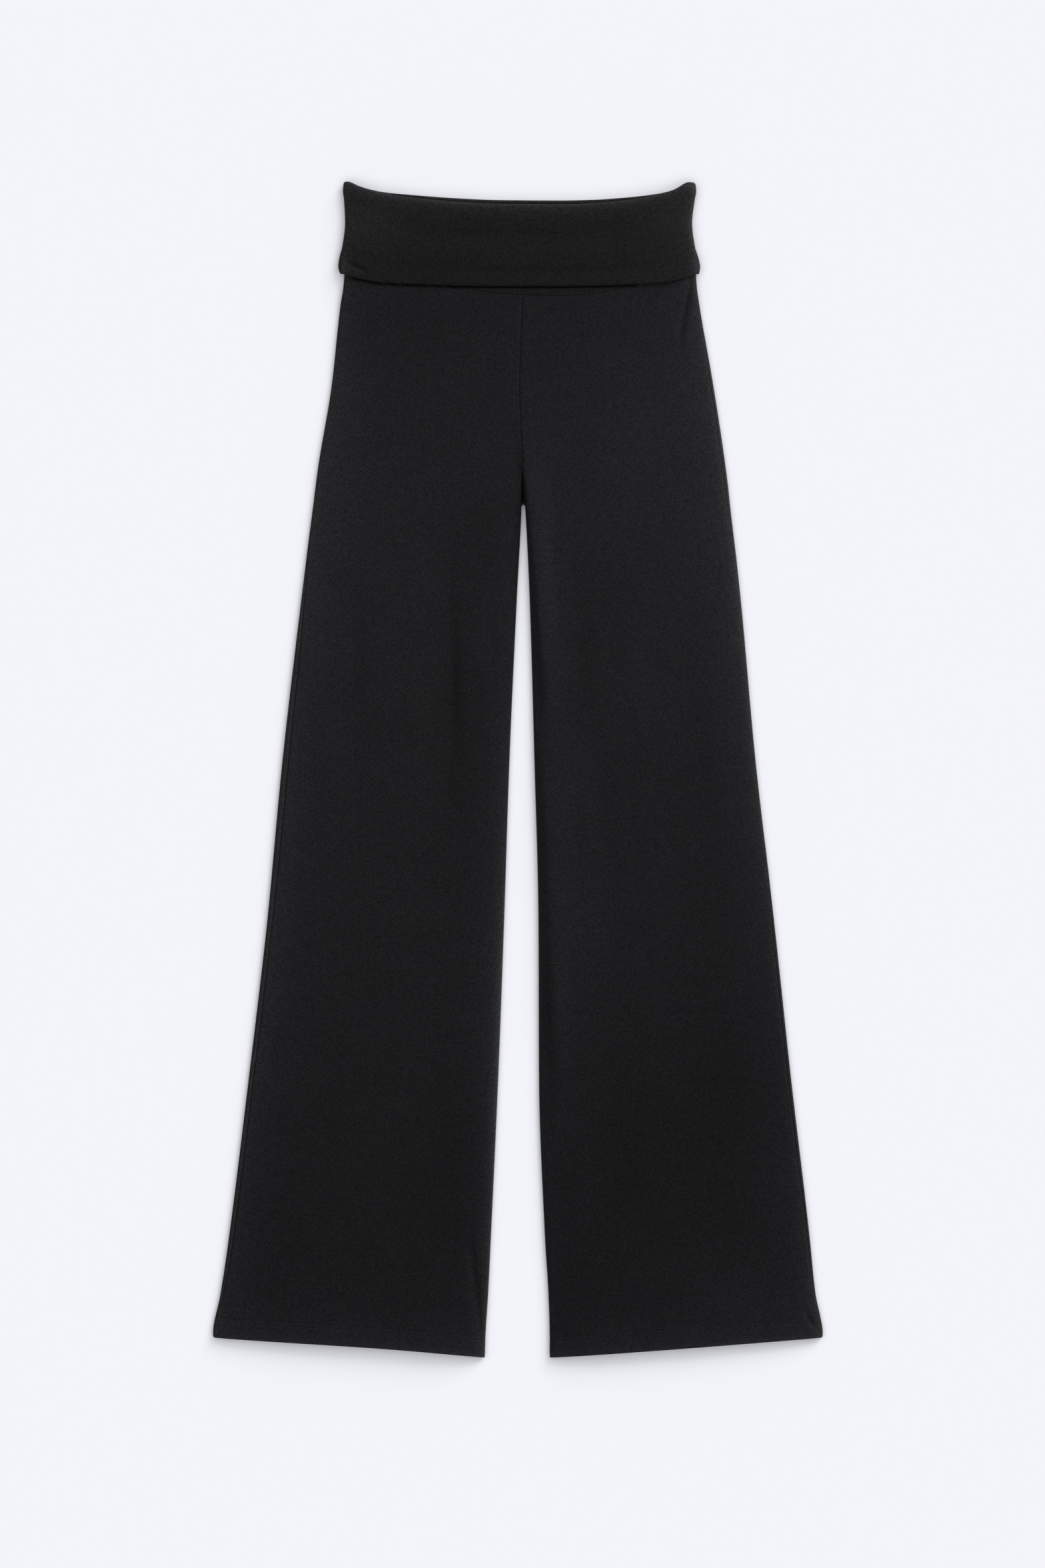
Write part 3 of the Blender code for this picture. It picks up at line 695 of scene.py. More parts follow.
    def leaf_shadow_mask(self, x: Array, y: Array) -> Array:
        """Where painted shadow darkens the hollow just under the fallen leaf's lower edge: exp(−(distance /
        width)²).

        Args:
            x: Places across.
            y: Places along.

        Returns:
            1 in the hollow, less towards the wearer's left, and 0 away from it.
        """
        below = BAND.at("leaf_front", x) - self.leaf_shade_drop - y
        thinned = 1 - self.leaf_shade_loss * ease(x, *self.leaf_shade_thins)
        ends = ease(x, *self.leaf_shade_start) * thinned * (1 - ease(x, *self.leaf_shade_end))
        return np.exp(-((below / self.leaf_shade_width) ** 2)) * ends

    def side_turn(self, run: Array, depth: Array) -> tuple[Array, Array]:
        """The cloth's place at a run along it from the widest point of a side.

        Round the turn, of radius R and at depth d under its outer face, the place is
        (R − (R − d) cos(run / R), (R − d) sin(run / R)), and beyond a quarter turn it runs level.

        Args:
            run: Along the cloth, positive up over the front and negative down under the back.
            depth: How far the wall's middle lies under its outer face.

        Returns:
            How far in from the widest point, and how high over the turn's middle.
        """
        turn = np.clip(run / self.turn_radius, -math.pi / 2, math.pi / 2)
        level = np.maximum(np.abs(run) - self.turn_radius * math.pi / 2, 0.0)
        inward = self.turn_radius - (self.turn_radius - depth) * np.cos(turn) + level
        return inward, (self.turn_radius - depth) * np.sin(turn)

    def half_gap(self, run: Array) -> Array:
        """Half a seam's gap along the cloth, wider on a turn so that the inner faces keep theirs."""
        return self.seam_gap / 2 * (1 + np.cos(np.minimum(run / self.turn_radius, math.pi / 2)))


TUBE = LaidTube()


@dataclass
class ClothShell:
    """A closed shell of cloth round a grid of points on its middle surface."""

    name: str
    middle: Array  # rows × columns × 3
    half: Array  # rows × columns, half the thickness
    cut: Array  # rows × columns × 2, each point's place on the flat cloth, for the knit
    nap: Array  # rows × columns, painted light and shade: how much lighter the colour is made, and below 0 darker

    def __post_init__(self) -> None:
        """Brings the thickness to 0 all round the grid's edge, where the two faces meet."""
        self.half[[0, -1], :] = 0.0
        self.half[:, [0, -1]] = 0.0

    def normals(self) -> Array:
        """Unit normals of the middle surface: ∂P/∂column × ∂P/∂row, made 1 long.

        Returns:
            The normals, rows × columns × 3.
        """
        across, along = np.gradient(self.middle, axis=1), np.gradient(self.middle, axis=0)
        normal = np.cross(across, along)
        return normal / np.maximum(np.linalg.norm(normal, axis=2, keepdims=True), 1e-12)

    def face(self, sign: float) -> Array:
        """The points on one face: middle + sign × half the thickness × normal."""
        return self.middle + sign * self.half[..., None] * self.normals()

    def build(self) -> bpy.types.Object:
        """Joins the two faces at the grid's edge, where the thickness is 0, into one closed mesh.

        Returns:
            The shell's object, linked to the scene.
        """
        rows, columns = self.half.shape
        upper = np.arange(rows * columns).reshape(rows, columns)
        rim = np.zeros((rows, columns), dtype=bool)
        rim[[0, -1], :] = rim[:, [0, -1]] = True
        lower = np.where(rim, upper, 0)
        lower[~rim] = rows * columns + np.arange(np.count_nonzero(~rim))
        points = np.concatenate((self.face(1.0).reshape(-1, 3), self.face(-1.0)[~rim]))
        cut = np.concatenate((self.cut.reshape(-1, 2), self.cut[~rim]))
        nap = np.concatenate((self.nap.ravel(), self.nap[~rim]))
        quads = np.concatenate((grid_quads(upper), grid_quads(lower)[:, ::-1]))
        piece = mesh_object(self.name, points, quads, cut)
        # Painted light and shade go on each point, for the jersey's colour
        piece.data.attributes.new("nap", "FLOAT", "POINT").data.foreach_set("value", nap)
        return piece


def grid_quads(index: npt.NDArray[np.int64]) -> npt.NDArray[np.int64]:
    """The quads of a grid of point numbers, facing ∂P/∂column × ∂P/∂row."""
    corners = (index[:-1, :-1], index[:-1, 1:], index[1:, 1:], index[1:, :-1])
    return np.stack(corners, axis=-1).reshape(-1, 4)


def mesh_object(
    name: str, points: Array, faces: npt.NDArray[np.int64], cut: Array | None = None
) -> bpy.types.Object:
    """A smooth mesh object from arrays.

    Args:
        name: The object's and the mesh's name.
        points: Its points.
        faces: Its faces, all with the same number of corners.
        cut: Each point's place on the flat cloth, kept as the UV map "cut".

    Returns:
        The object, linked to the scene.
    """
    mesh = bpy.data.meshes.new(name)
    mesh.from_pydata(points, [], faces)
    mesh.shade_smooth()
    if cut is not None:
        layer = mesh.uv_layers.new(name="cut")
        corner = np.empty(len(mesh.loops), dtype=np.int32)
        mesh.loops.foreach_get("vertex_index", corner)
        layer.uv.foreach_set("vector", cut[corner].ravel())
    mesh.validate()
    piece = bpy.data.objects.new(name, mesh)
    bpy.context.scene.collection.objects.link(piece)
    return piece


def rounded(distance: Array, radius: Array) -> Array:
    """Share of the full thickness at a distance from an edge: √(1 − (1 − distance / radius)²)."""
    return np.sqrt(1 - (1 - np.clip(distance / radius, 0.0, 1.0)) ** 2)


def rim_steps(radius: float) -> Array:
    """Distances from an edge that take a rounded rim in even turns: radius × (1 − cos θ)."""
    return radius * (1 - np.cos(np.radians((0.0, 22.5, 45.0, 67.5, 90.0))))


def along_grid(points: Array, axis: int) -> Array:
    """Each point's way along an axis of its grid, summed from the first point.

    Args:
        points: Rows × columns × 3.
        axis: 0 to sum over the rows, or 1 over the columns.

    Returns:
        The ways, rows × columns.
    """
    steps = np.linalg.norm(np.diff(points, axis=axis), axis=2)
    start = np.zeros_like(np.take(steps, [0], axis=axis))
    return np.cumsum(np.concatenate((start, steps), axis=axis), axis=axis)


@dataclass
class LegPanel:
    """One leg panel, front or back, cut in one piece from the waist seam to its turned-up hem."""

    side: Side
    layer: Layer
    cut_size: tuple[float, float]
    cut_area: float
    middle_columns: int = 122
    row_step: float = 0.005
    tube: LaidTube = TUBE
    hem_inner_y: float = -0.5651
    hem_rise: float = 0.0195  # a hem's outer corner is this much higher than its inner corner
    hem_hollow: tuple[float, float] = (0.0017, -0.0003)  # of the right and the left leg
    hem_skew: float = 1.5  # above 1 it is deepest nearer the inner corner
    back_hem_lift: float = 0.0010  # the back hem stays hidden behind the front hem
    hem_depth: float = 0.0200
    hem_cloth: float = 0.0017
    hem_ledge: float = 0.0012  # how soon the hem's wall thins to one layer above the turn-up
    stitch_rows: tuple[float, float] = (0.0156, 0.0188)  # from the hem's edge
    stitch_sink: float = 0.00017
    stitch_groove: float = 0.0009  # half width of the groove that a row of stitches pulls in
    shared_top: tuple[float, float] = (0.4700, 0.4848)  # inner and outer ends of the highest shared row
    side_run: float = 0.011  # how far along the cloth from its widest point the close columns reach
    close_fraction: float = 0.04
    rim: float = 0.0009  # how far in from a seam the cloth's thickness is rounded off
    joined_length: float = 0.0015  # how soon above the crotch the rise seam's sides meet
    side_shows: tuple[float, float] = (0.0020, 0.0042)  # runs from which a side seam is on top
    side_sink: float = 0.0005  # how far a side seam that lies on the front pulls the cloth in
    side_shade: float = 0.18  # and how much darker painted shade makes its groove
    side_groove: float = 0.0010
    front_close: tuple[float, ...] = (
        0.0, 0.006, 0.025, 0.055, 0.10, 0.17, 0.25, 0.34, 0.44, 0.55, 0.67, 0.80, 0.90, 1.0,
    )
    back_close: tuple[float, ...] = (
        0.0, 0.006, 0.022, 0.045, 0.08, 0.13, 0.18, 0.23, 0.29,
        0.35, 0.41, 0.47, 0.54, 0.62, 0.72, 0.86, 1.0,
    )
    share: Array = field(init=False)
    zone: Array = field(init=False)
    fraction: Array = field(init=False)
    inner_half: Array = field(init=False)

    def __post_init__(self) -> None:
        """Spaces the columns: close ones at each side, 0 and 2, and even ones between, 1."""
        close = np.array(self.front_close if self.layer is Layer.FRONT else self.back_close)
        middle = np.arange(1, self.middle_columns + 1) / (self.middle_columns + 1)
        self.share = np.concatenate((close, middle, close[::-1]))
        self.zone = np.repeat((0, 1, 2), (len(close), len(middle), len(close)))
        self.fraction = np.concatenate((
            self.close_fraction * close,
            self.close_fraction + (1 - 2 * self.close_fraction) * middle,
            1 - self.close_fraction * close[::-1],
        ))
        self.inner_half = np.linspace(0.0, 1.0, len(self.share)) > 0.5

    @property
    def node(self) -> str:
        """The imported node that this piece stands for."""
        return f"{self.layer.word}_{self.side.word}_leg"

    def across(self, y: Array, depth: Array | float) -> tuple[Array, Array, Array, Array]:
        """Lays each row of the panel on the tube, from its outer seam to its inner seam.

        Close columns run along the cloth round the tube's side, and the rest are evenly spaced.

        Args:
            y: Each point's place along.
            depth: How far the wall's middle lies under its outer face.

        Returns:
            x, the run from the side's widest point, the rise there, and the distance from the
            nearer seam along the cloth.
        """
        way, tube = self.layer.value, self.tube
        far = way * self.side_run
        seam_up = SIDE_SEAM.at(self.side.word, y)
        outer_seam = seam_up + way * tube.half_gap(seam_up)
        inner_seam = tube.turn_radius * (math.pi / 2 - tube.seam_turn(y))
        inner_seam = way * (inner_seam + tube.half_gap(inner_seam))
        outer_run = outer_seam + (far - outer_seam) * self.share
        inner_run = inner_seam + (far - inner_seam) * self.share
        outer_in, outer_rise = tube.side_turn(outer_run, depth)
        inner_in, inner_rise = tube.side_turn(inner_run, depth)
        far_in, far_rise = tube.side_turn(np.full_like(y, far), depth)
        outer = tube.outer_edge(self.side, y)
        inner = tube.inner_edge(self.side, y, way * tube.seam_lean)
        sign = self.side.value
        start, end = outer - sign * far_in, inner + sign * far_in
        zones = [np.broadcast_to(self.zone == number, y.shape) for number in range(3)]
        level = start + (end - start) * self.share
        x = np.select(zones, [outer - sign * outer_in, level, inner + sign * inner_in])
        run = np.select(zones, [outer_run, np.full_like(y, far), inner_run])
        rise = np.select(zones, [outer_rise, far_rise, inner_rise])
        from_seam = np.minimum(np.abs(run - outer_seam), np.abs(run - inner_seam))
        from_seam = np.where(zones[1], self.side_run, from_seam)
        return x, run, rise, from_seam

    def named_rows(self) -> Array:
        """The rows' places along the inner edge, close at the hem, the crotch and the waist seam.

        Returns:
            y of each row, rising.
        """
        tube, hem, top = self.tube, self.hem_inner_y, self.shared_top[0]
        hem_top = hem + self.hem_depth
        near_crotch = np.array((0.004, 0.003, 0.002, 0.0012, 0.0006, 0.00025, 0.00008))
        stitches = hem + self.stitch_rows[0] - 0.0012
        # Each run of even rows: from, up to, and the step
        runs = (
            (hem + 0.002, stitches, 0.0015),
            (stitches, hem_top + 0.0014, 0.0004),
            (hem_top + 0.0026, hem_top + 0.0080, 0.0025),
            (hem_top + 0.0120, tube.crotch_y - 0.020, self.row_step),
            (tube.crotch_y - 0.019, tube.crotch_y - 0.0045, 0.0025),
            (tube.crotch_y, tube.wedge_top_y, 0.002),
            (tube.wedge_top_y, tube.ramp_y[0], 0.004),
            (tube.ramp_y[0], top - 0.0020, 0.0022),
        )
        hem_rim, top_rim = rim_steps(self.hem_cloth / 2), rim_steps(tube.leg_cloth / 2)
        close = (hem + hem_rim, tube.crotch_y - near_crotch, top - top_rim)
        return np.unique(np.concatenate((*close, *(np.arange(*run) for run in runs))))

    def rows(self) -> tuple[Array, Array, Array]:
        """Finds y at each row and column, from the hem up to the waist seam.

        y = hem + share × (shared top − hem), plus the way from the shared top to this layer's own
        waist seam, eased in above the crotch. The seam's y depends on x and x on y, so both are
        found in rounds.

        Returns:
            y, and the distances from the hem's edge and from the waist seam.
        """
        named = self.named_rows()[:, None]
        hem = self.hem_inner_y + self.hem_rise * (1 - self.fraction)
        hollow = self.hem_hollow[self.side is Side.LEFT]
        hem = hem + hollow * np.sin(math.pi * self.fraction ** self.hem_skew)
        inner_top, outer_top = self.shared_top
        shared_top = inner_top + (outer_top - inner_top) * (1 - self.fraction)
        seam = shared_top
        for _ in range(ROUNDS):
            x = self.across(seam, self.tube.leg_cloth / 2)[0]
            seam = BAND.at("seam_" + self.layer.word, x) - self.tube.seam_gap / 2
        share = (named - self.hem_inner_y) / (inner_top - self.hem_inner_y)
        y = hem + share * (shared_top - hem)
        y = y + (seam - shared_top) * ease(named, self.tube.wedge_top_y, inner_top)
        if self.layer is Layer.BACK:
            y = y + self.back_hem_lift * (1 - ease(named - self.hem_inner_y, 0.0, self.hem_depth))
        return y, y - y[0], y[-1] - y

    def cloth(self, from_hem: Array) -> Array:
        """The wall's thickness, which falls from the turned-up hem's to one layer's at the ledge."""
        above = ease(from_hem, self.hem_depth - self.hem_ledge / 2, self.hem_depth + self.hem_ledge / 2)
        return self.hem_cloth + (self.tube.leg_cloth - self.hem_cloth) * above

    def stitch_pull(self, from_hem: Array) -> Array:
        """How far the rows of stitches pull the cloth in: sink × exp(−(distance / groove)²)."""
        rows = [np.exp(-(((from_hem - row) / self.stitch_groove) ** 2)) for row in self.stitch_rows]
        return self.stitch_sink * sum(rows)

    def seam_pull(self, y: Array, from_seam: Array) -> Array:
        """How far the side seam pulls in where it is on top: sink × exp(−(distance / groove)²)."""
        on_top = ease(SIDE_SEAM.at(self.side.word, y), *self.side_shows)
        return self.side_sink * on_top * np.exp(-((from_seam / self.side_groove) ** 2))

    def shell(self) -> ClothShell:
        """Works out the panel's middle surface and thickness.

        z = (front's or back's outer height) ∓ turn radius + rise, and the stitches' pull inwards.
        Where the rise seam has turned down, the cloth's rim keeps to its outer face, so that the
        two sides meet there.

        Returns:
            The panel as a shell.
        """
        tube = self.tube
        y, from_hem, from_top = self.rows()
        thick = self.cloth(from_hem)
        from_seam = self.across(y, thick / 2)[3]
        joined = np.sin(tube.seam_turn(y)) * ease(y, tube.crotch_y, tube.crotch_y + self.joined_length)
        depth = thick / 2 * (1 - joined * self.inner_half * (1 - rounded(from_seam, self.rim)))
        side_pull = self.seam_pull(y, from_seam) * ~self.inner_half
        depth = depth + self.stitch_pull(from_hem) + side_pull
        x, run, rise, from_seam = self.across(y, depth)
        on_front = tube.front_height(x, y) - tube.turn_radius + rise
        on_back = tube.back_height(x, y) + tube.turn_radius + rise
        middle = np.stack((x, y, np.where(run >= 0, on_front, on_back)), axis=-1)
        ends = np.minimum(from_hem / thick, from_top / thick)
        half = thick / 2 * rounded(from_seam, self.rim) * rounded(ends, 0.5)
        across = along_grid(middle, 1)
        across = across - across[:, [len(self.share) // 2]]
        cut = np.stack((-self.side.value * across, y), axis=-1)
        # Painted light and shade on each point, with the painted shade of the wedge only on the front
        nap = tube.nap(x, y, from_hem, float(self.layer is Layer.FRONT))
        # Painted shade in the side seam's groove
        nap = nap - self.side_shade / self.side_sink * side_pull
        if self.side.value * self.layer.value > 0:
            middle, half, cut, nap = (grid[:, ::-1] for grid in (middle, half, cut, nap))
        return ClothShell(self.node + "_cloth", middle, half, cut, nap)

    def stitch_line(self, row: float) -> Array:
        """Points along a row of stitches, on the hem's outer face.

        Args:
            row: The row's distance from the hem's edge.

        Returns:
            Points, one for each column, without those that round the seams.
        """
        outer = self.shell().face(1.0)
        from_hem = outer[:, :, 1] - outer[0, :, 1]
        number = np.argmin(np.abs(from_hem[:, outer.shape[1] // 2] - row))
        return outer[number, 3:-3]


@dataclass
class HemStitches:
    """Two rows of twin-needle stitches round the hem of a leg, on its front and back panels."""

    panels: tuple[LegPanel, ...]
    length: float = 0.0027
    pitch: float = 0.0032
    radius: float = 0.00022  # about twice the real thread's, which is too fine to show
    bulge: tuple[float, ...] = (0.35, 0.9, 1.0, 0.9, 0.35)  # radius along a stitch, as a share

    def row(self, line: Array) -> tuple[Array, Array]:
        """One row of stitches along a line of points.

        A stitch's point is centre(s) + radius × bulge × (cos a × upright + sin a × side), where s
        runs along the line, the side is level and a takes six even steps.

        Args:
            line: The points that the row follows.

        Returns:
            The points and the faces.
        """
        way = np.concatenate(([0.0], np.cumsum(np.linalg.norm(np.diff(line, axis=0), axis=1))))
        start = np.arange(self.pitch / 2, way[-1] - self.pitch, self.pitch)
        rings = len(self.bulge)
        place = start[:, None] + self.length * np.linspace(0.0, 1.0, rings)
        centre = np.stack([np.interp(place, way, line[:, axis]) for axis in range(3)], axis=-1)
        upright = np.array((0.0, 0.0, 1.0))
        side = np.cross(centre[:, -1] - centre[:, 0], upright)
        side /= np.linalg.norm(side, axis=1, keepdims=True)
        angle = np.arange(6) / 6 * 2 * math.pi
        spoke = np.sin(angle)[:, None] * side[:, None, :] + np.cos(angle)[:, None] * upright
        reach = self.radius * np.array(self.bulge)[None, :, None, None]
        points = centre[:, :, None, :] + reach * spoke[:, None, :, :]
        index = np.arange(points.size // 3).reshape(len(start), rings, 6)
        ahead = np.roll(index, -1, axis=2)
        walls = np.stack((index[:, :-1], ahead[:, :-1], ahead[:, 1:], index[:, 1:]), axis=-1)
        # Each end's six corners are closed by two four-cornered halves
        first, last = index[:, 0], index[:, -1]
        start_caps = first[:, [[0, 5, 4, 3], [3, 2, 1, 0]]]
        end_caps = last[:, [[0, 1, 2, 3], [3, 4, 5, 0]]]
        faces = (walls, start_caps, end_caps)
        return points.reshape(-1, 3), np.concatenate([part.reshape(-1, 4) for part in faces])

    def build(self, name: str) -> bpy.types.Object:
        """Joins the rows of all the panels into one object.

        Args:
            name: The object's name.

        Returns:
            The stitches.
        """
        points, faces, count = [], [], 0
        for panel in self.panels:
            for from_edge in panel.stitch_rows:
                row_points, row_faces = self.row(panel.stitch_line(from_edge))
                points.append(row_points)
                faces.append(row_faces + count)
                count += len(row_points)
        return mesh_object(name, np.concatenate(points), np.concatenate(faces))


@dataclass
class WaistBand:
    """The band's front or back, doubled jersey that stands up, turns over and falls outside."""

    layer: Layer
    cut_size: tuple[float, float]
    cut_area: float
    middle_columns: int = 96
    end_crowding: float = 0.10  # draws the middle columns towards the ends
    tube: LaidTube = TUBE
    rim: float = 0.0008
    turn_shares: tuple[float, ...] = (
        0.0, 0.02, 0.07, 0.14, 0.22, 0.32, 0.43, 0.55, 0.67, 0.78, 0.89, 1.0,
    )
    top_nap: float = 1.10  # painted highlight: how much lighter the top fold's colour is made than the legs' ends
    strip_step: float = 0.0008  # between the standing leaf's rows where it shows under the fallen one
    strip_rows: int = 13
    standing_steps: int = 12
    turn_steps: int = 12
    fallen_steps: int = 58
    turn_share: Array = field(init=False)
    fraction: Array = field(init=False)

    def __post_init__(self) -> None:
        """Spaces the columns: close ones round each side, and the rest on the flat between."""
        even = np.arange(1, self.middle_columns + 1) / (self.middle_columns + 1)
        middle = even - self.end_crowding * np.sin(2 * math.pi * even)
        shares = np.array(self.turn_shares)
        self.turn_share = np.concatenate((shares, np.ones(self.middle_columns), shares[::-1]))
        self.fraction = np.concatenate((0 * shares, middle, 0 * shares + 1))

    @property
    def node(self) -> str:
        """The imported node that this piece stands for."""
        return "waistband_" + self.layer.word

    def leaf(self, y: Array, fallen: bool, lift: Array | float) -> tuple[Array, Array, Array]:
        """Lays a leaf on the tube: flat across, and a quarter circle round each side.

        Args:
            y: Each point's place along.
            fallen: Whether it is the leaf that has turned over.
            lift: How much further out than its place in the stack it lies.

        Returns:
            x and z of the leaf's middle, and the distance from the nearer side seam.
        """
        tube = self.tube
        radius = tube.turn_radius - tube.leg_cloth / 2 + (tube.leaf_step if fallen else 0.0)
        start = tube.half_gap(np.array(0.0)) / radius
        turn = start + (math.pi / 2 - start) * self.turn_share
        if fallen:
            right = LEAF_SIDE.at("right", y) + tube.band_cloth / 2
            left = LEAF_SIDE.at("left", y) - tube.band_cloth / 2
        else:
            right = tube.outer_edge(Side.RIGHT, y) + tube.leg_cloth / 2
            left = tube.outer_edge(Side.LEFT, y) - tube.leg_cloth / 2
        flat_right, flat_left = right + radius, left - radius
        way_out = np.where(self.fraction == 0, -1, np.where(self.fraction == 1, 1, 0))
        x = flat_right + (flat_left - flat_right) * self.fraction + radius * np.cos(turn) * way_out
        if self.layer is Layer.FRONT:
            middle = tube.front_height(x, y) - tube.turn_radius
        else:
            middle = tube.back_height(x, y) + tube.turn_radius
        height = middle + (self.layer.value * radius + lift) * np.sin(turn)
        from_side = radius * (turn - start) + np.where(way_out == 0, 1.0, 0.0)
        return x, height, from_side

    def wrinkles(self, x: Array, y: Array) -> Array:
        """The fallen leaf's own creases."""
        from_side = np.minimum(x - LEAF_SIDE.at("right", y), LEAF_SIDE.at("left", y) - x)
        return sum((crease.relief(x, y, from_side) for crease in LEAF_CREASES[self.layer]), 0.0 * y)

    def line(self, name: str) -> Array:
        """y of one of the band's lines at each column of the standing leaf.

        Args:
            name: seam, top or leaf.

        Returns:
            The line, one y a column.
        """
        column = f"{name}_{self.layer.word}"
        y = np.full_like(self.fraction, BAND.columns[column].mean())
        for _ in range(ROUNDS):
            y = BAND.at(column, self.leaf(y, False, 0.0)[0])
        return y

    def shell(self) -> ClothShell:
        """Works out the band: rows go up the standing leaf, round the top fold and down the other.

        Round the fold, y = centre + bend × sin a and the share of the fallen leaf is (1 − cos a) / 2.

        Returns:
            The band's piece as a shell.
        """
        tube, front = self.tube, self.layer is Layer.FRONT
        seam = self.line("seam") + tube.seam_gap / 2
        top, leaf = self.line("top"), self.line("leaf")
        bend = (tube.leaf_step + tube.top_roll) / 2
        centre = top - tube.band_cloth / 2 - bend
        rim = rim_steps(self.rim)[:, None]
        low_rows = np.arange(1, self.standing_steps)[:, None] / self.standing_steps
        strip = seam + self.rim + self.strip_step * np.arange(1, self.strip_rows + 1)[:, None]
        up = np.concatenate((seam + rim, strip, strip[-1] + (centre - strip[-1]) * low_rows))
        over = np.arange(self.turn_steps + 1)[:, None] / self.turn_steps * math.pi
        down_rows = np.arange(1, self.fallen_steps)[:, None] / self.fallen_steps
        down = np.concatenate((centre + (leaf + self.rim - centre) * down_rows, leaf + rim[::-1]))
        y = np.concatenate((up, centre + bend * np.sin(over), down))
        fallen_share = np.concatenate((0 * up[:, :1], (1 - np.cos(over)) / 2, 0 * down[:, :1] + 1))
        below_top = top - y
        roll = tube.top_roll * (1 - ease(below_top, 0.0, tube.top_roll_length))
        x_stand, z_stand, side_stand = self.leaf(y, False, 0.0 if front else roll)
        x_fall, z_fall, side_fall = self.leaf(y, True, LEAF_LIFT.at("lift", below_top) if front else 0.0)
        wrinkle = self.wrinkles(x_fall, y)
        if front:
            z_stand = z_stand + np.minimum(wrinkle, 0.0)
            z_fall = z_fall + wrinkle
        middle = np.stack((
            x_stand + (x_fall - x_stand) * fallen_share,
            y,
            z_stand + (z_fall - z_stand) * fallen_share,
        ), axis=-1)
        from_side = side_stand + (side_fall - side_stand) * fallen_share
        along = along_grid(middle, 0)
        ends = np.minimum(along, along[-1] - along)
        half = tube.band_cloth / 2 * rounded(from_side, self.rim) * rounded(ends, self.rim)
        across = along_grid(middle, 1)
        cut = np.stack((across - across[:, [len(self.fraction) // 2]], along), axis=-1)
        # Painted light and shade on the band, the painted shade under the fallen leaf only on the front's
        # standing leaf
        nap = tube.nap(middle[..., 0], y, top - y, (1 - fallen_share) * front)
        # Painted highlight along the top fold
        nap = nap + self.top_nap * np.exp(-np.abs(top - y) / tube.rim_light_reach)
        return ClothShell(self.node + "_cloth", middle, half, cut, nap)


def linear(hex_colour: str) -> tuple[float, float, float, float]:
    """An sRGB hex colour as linear RGBA.

    Args:
        hex_colour: Six hex digits, such as "1f1f21".

    Returns:
        The colour with an alpha of 1.
    """
    shares = [int(hex_colour[start:start + 2], 16) / 255 for start in (0, 2, 4)]
    red, green, blue = (
        share / 12.92 if share <= 0.04045 else ((share + 0.055) / 1.055) ** 2.4 for share in shares
    )
    return red, green, blue, 1.0


MATH = "ShaderNodeMath"


@dataclass
class NodeSheet:
    """A material's node tree, to which nodes are added with their settings and links."""

    name: str
    material: bpy.types.Material = field(init=False)

    def __post_init__(self) -> None:
        """Makes the material with only its shader and output."""
        self.material = bpy.data.materials.new(self.name)
        self.material.use_nodes = True

    @property
    def shader(self) -> bpy.types.Node:
        """The material's Principled shader."""
        return self.material.node_tree.nodes["Principled BSDF"]

    def feed(self, socket: bpy.types.NodeSocket, value: object) -> None:
        """Sets an input socket, or links it.

        Args:
            socket: The input.
            value: A value, an output socket, or a node, which stands for its first output.
        """
        if isinstance(value, bpy.types.Node):
            value = value.outputs[0]
        if isinstance(value, bpy.types.NodeSocket):
            self.material.node_tree.links.new(value, socket)
        else:
            socket.default_value = value

    def add(self, kind: str, inputs: dict | None = None, **settings: object) -> bpy.types.Node:
        """Adds a node.

        Args:
            kind: The node's type, such as "ShaderNodeMath".
            inputs: What each input is fed, by the input's name or number.
            settings: The node's own properties.

        Returns:
            The node.
        """
        node = self.material.node_tree.nodes.new(kind)
        for key, value in settings.items():
            setattr(node, key, value)
        for key, value in (inputs or {}).items():
            self.feed(node.inputs[key], value)
        return node

    def set_shader(self, **sockets: object) -> None:
        """Feeds the shader's sockets.

        Args:
            sockets: What each is fed, by its name with _ for a space.
        """
        for key, value in sockets.items():
            self.feed(self.shader.inputs[key.replace("_", " ")], value)


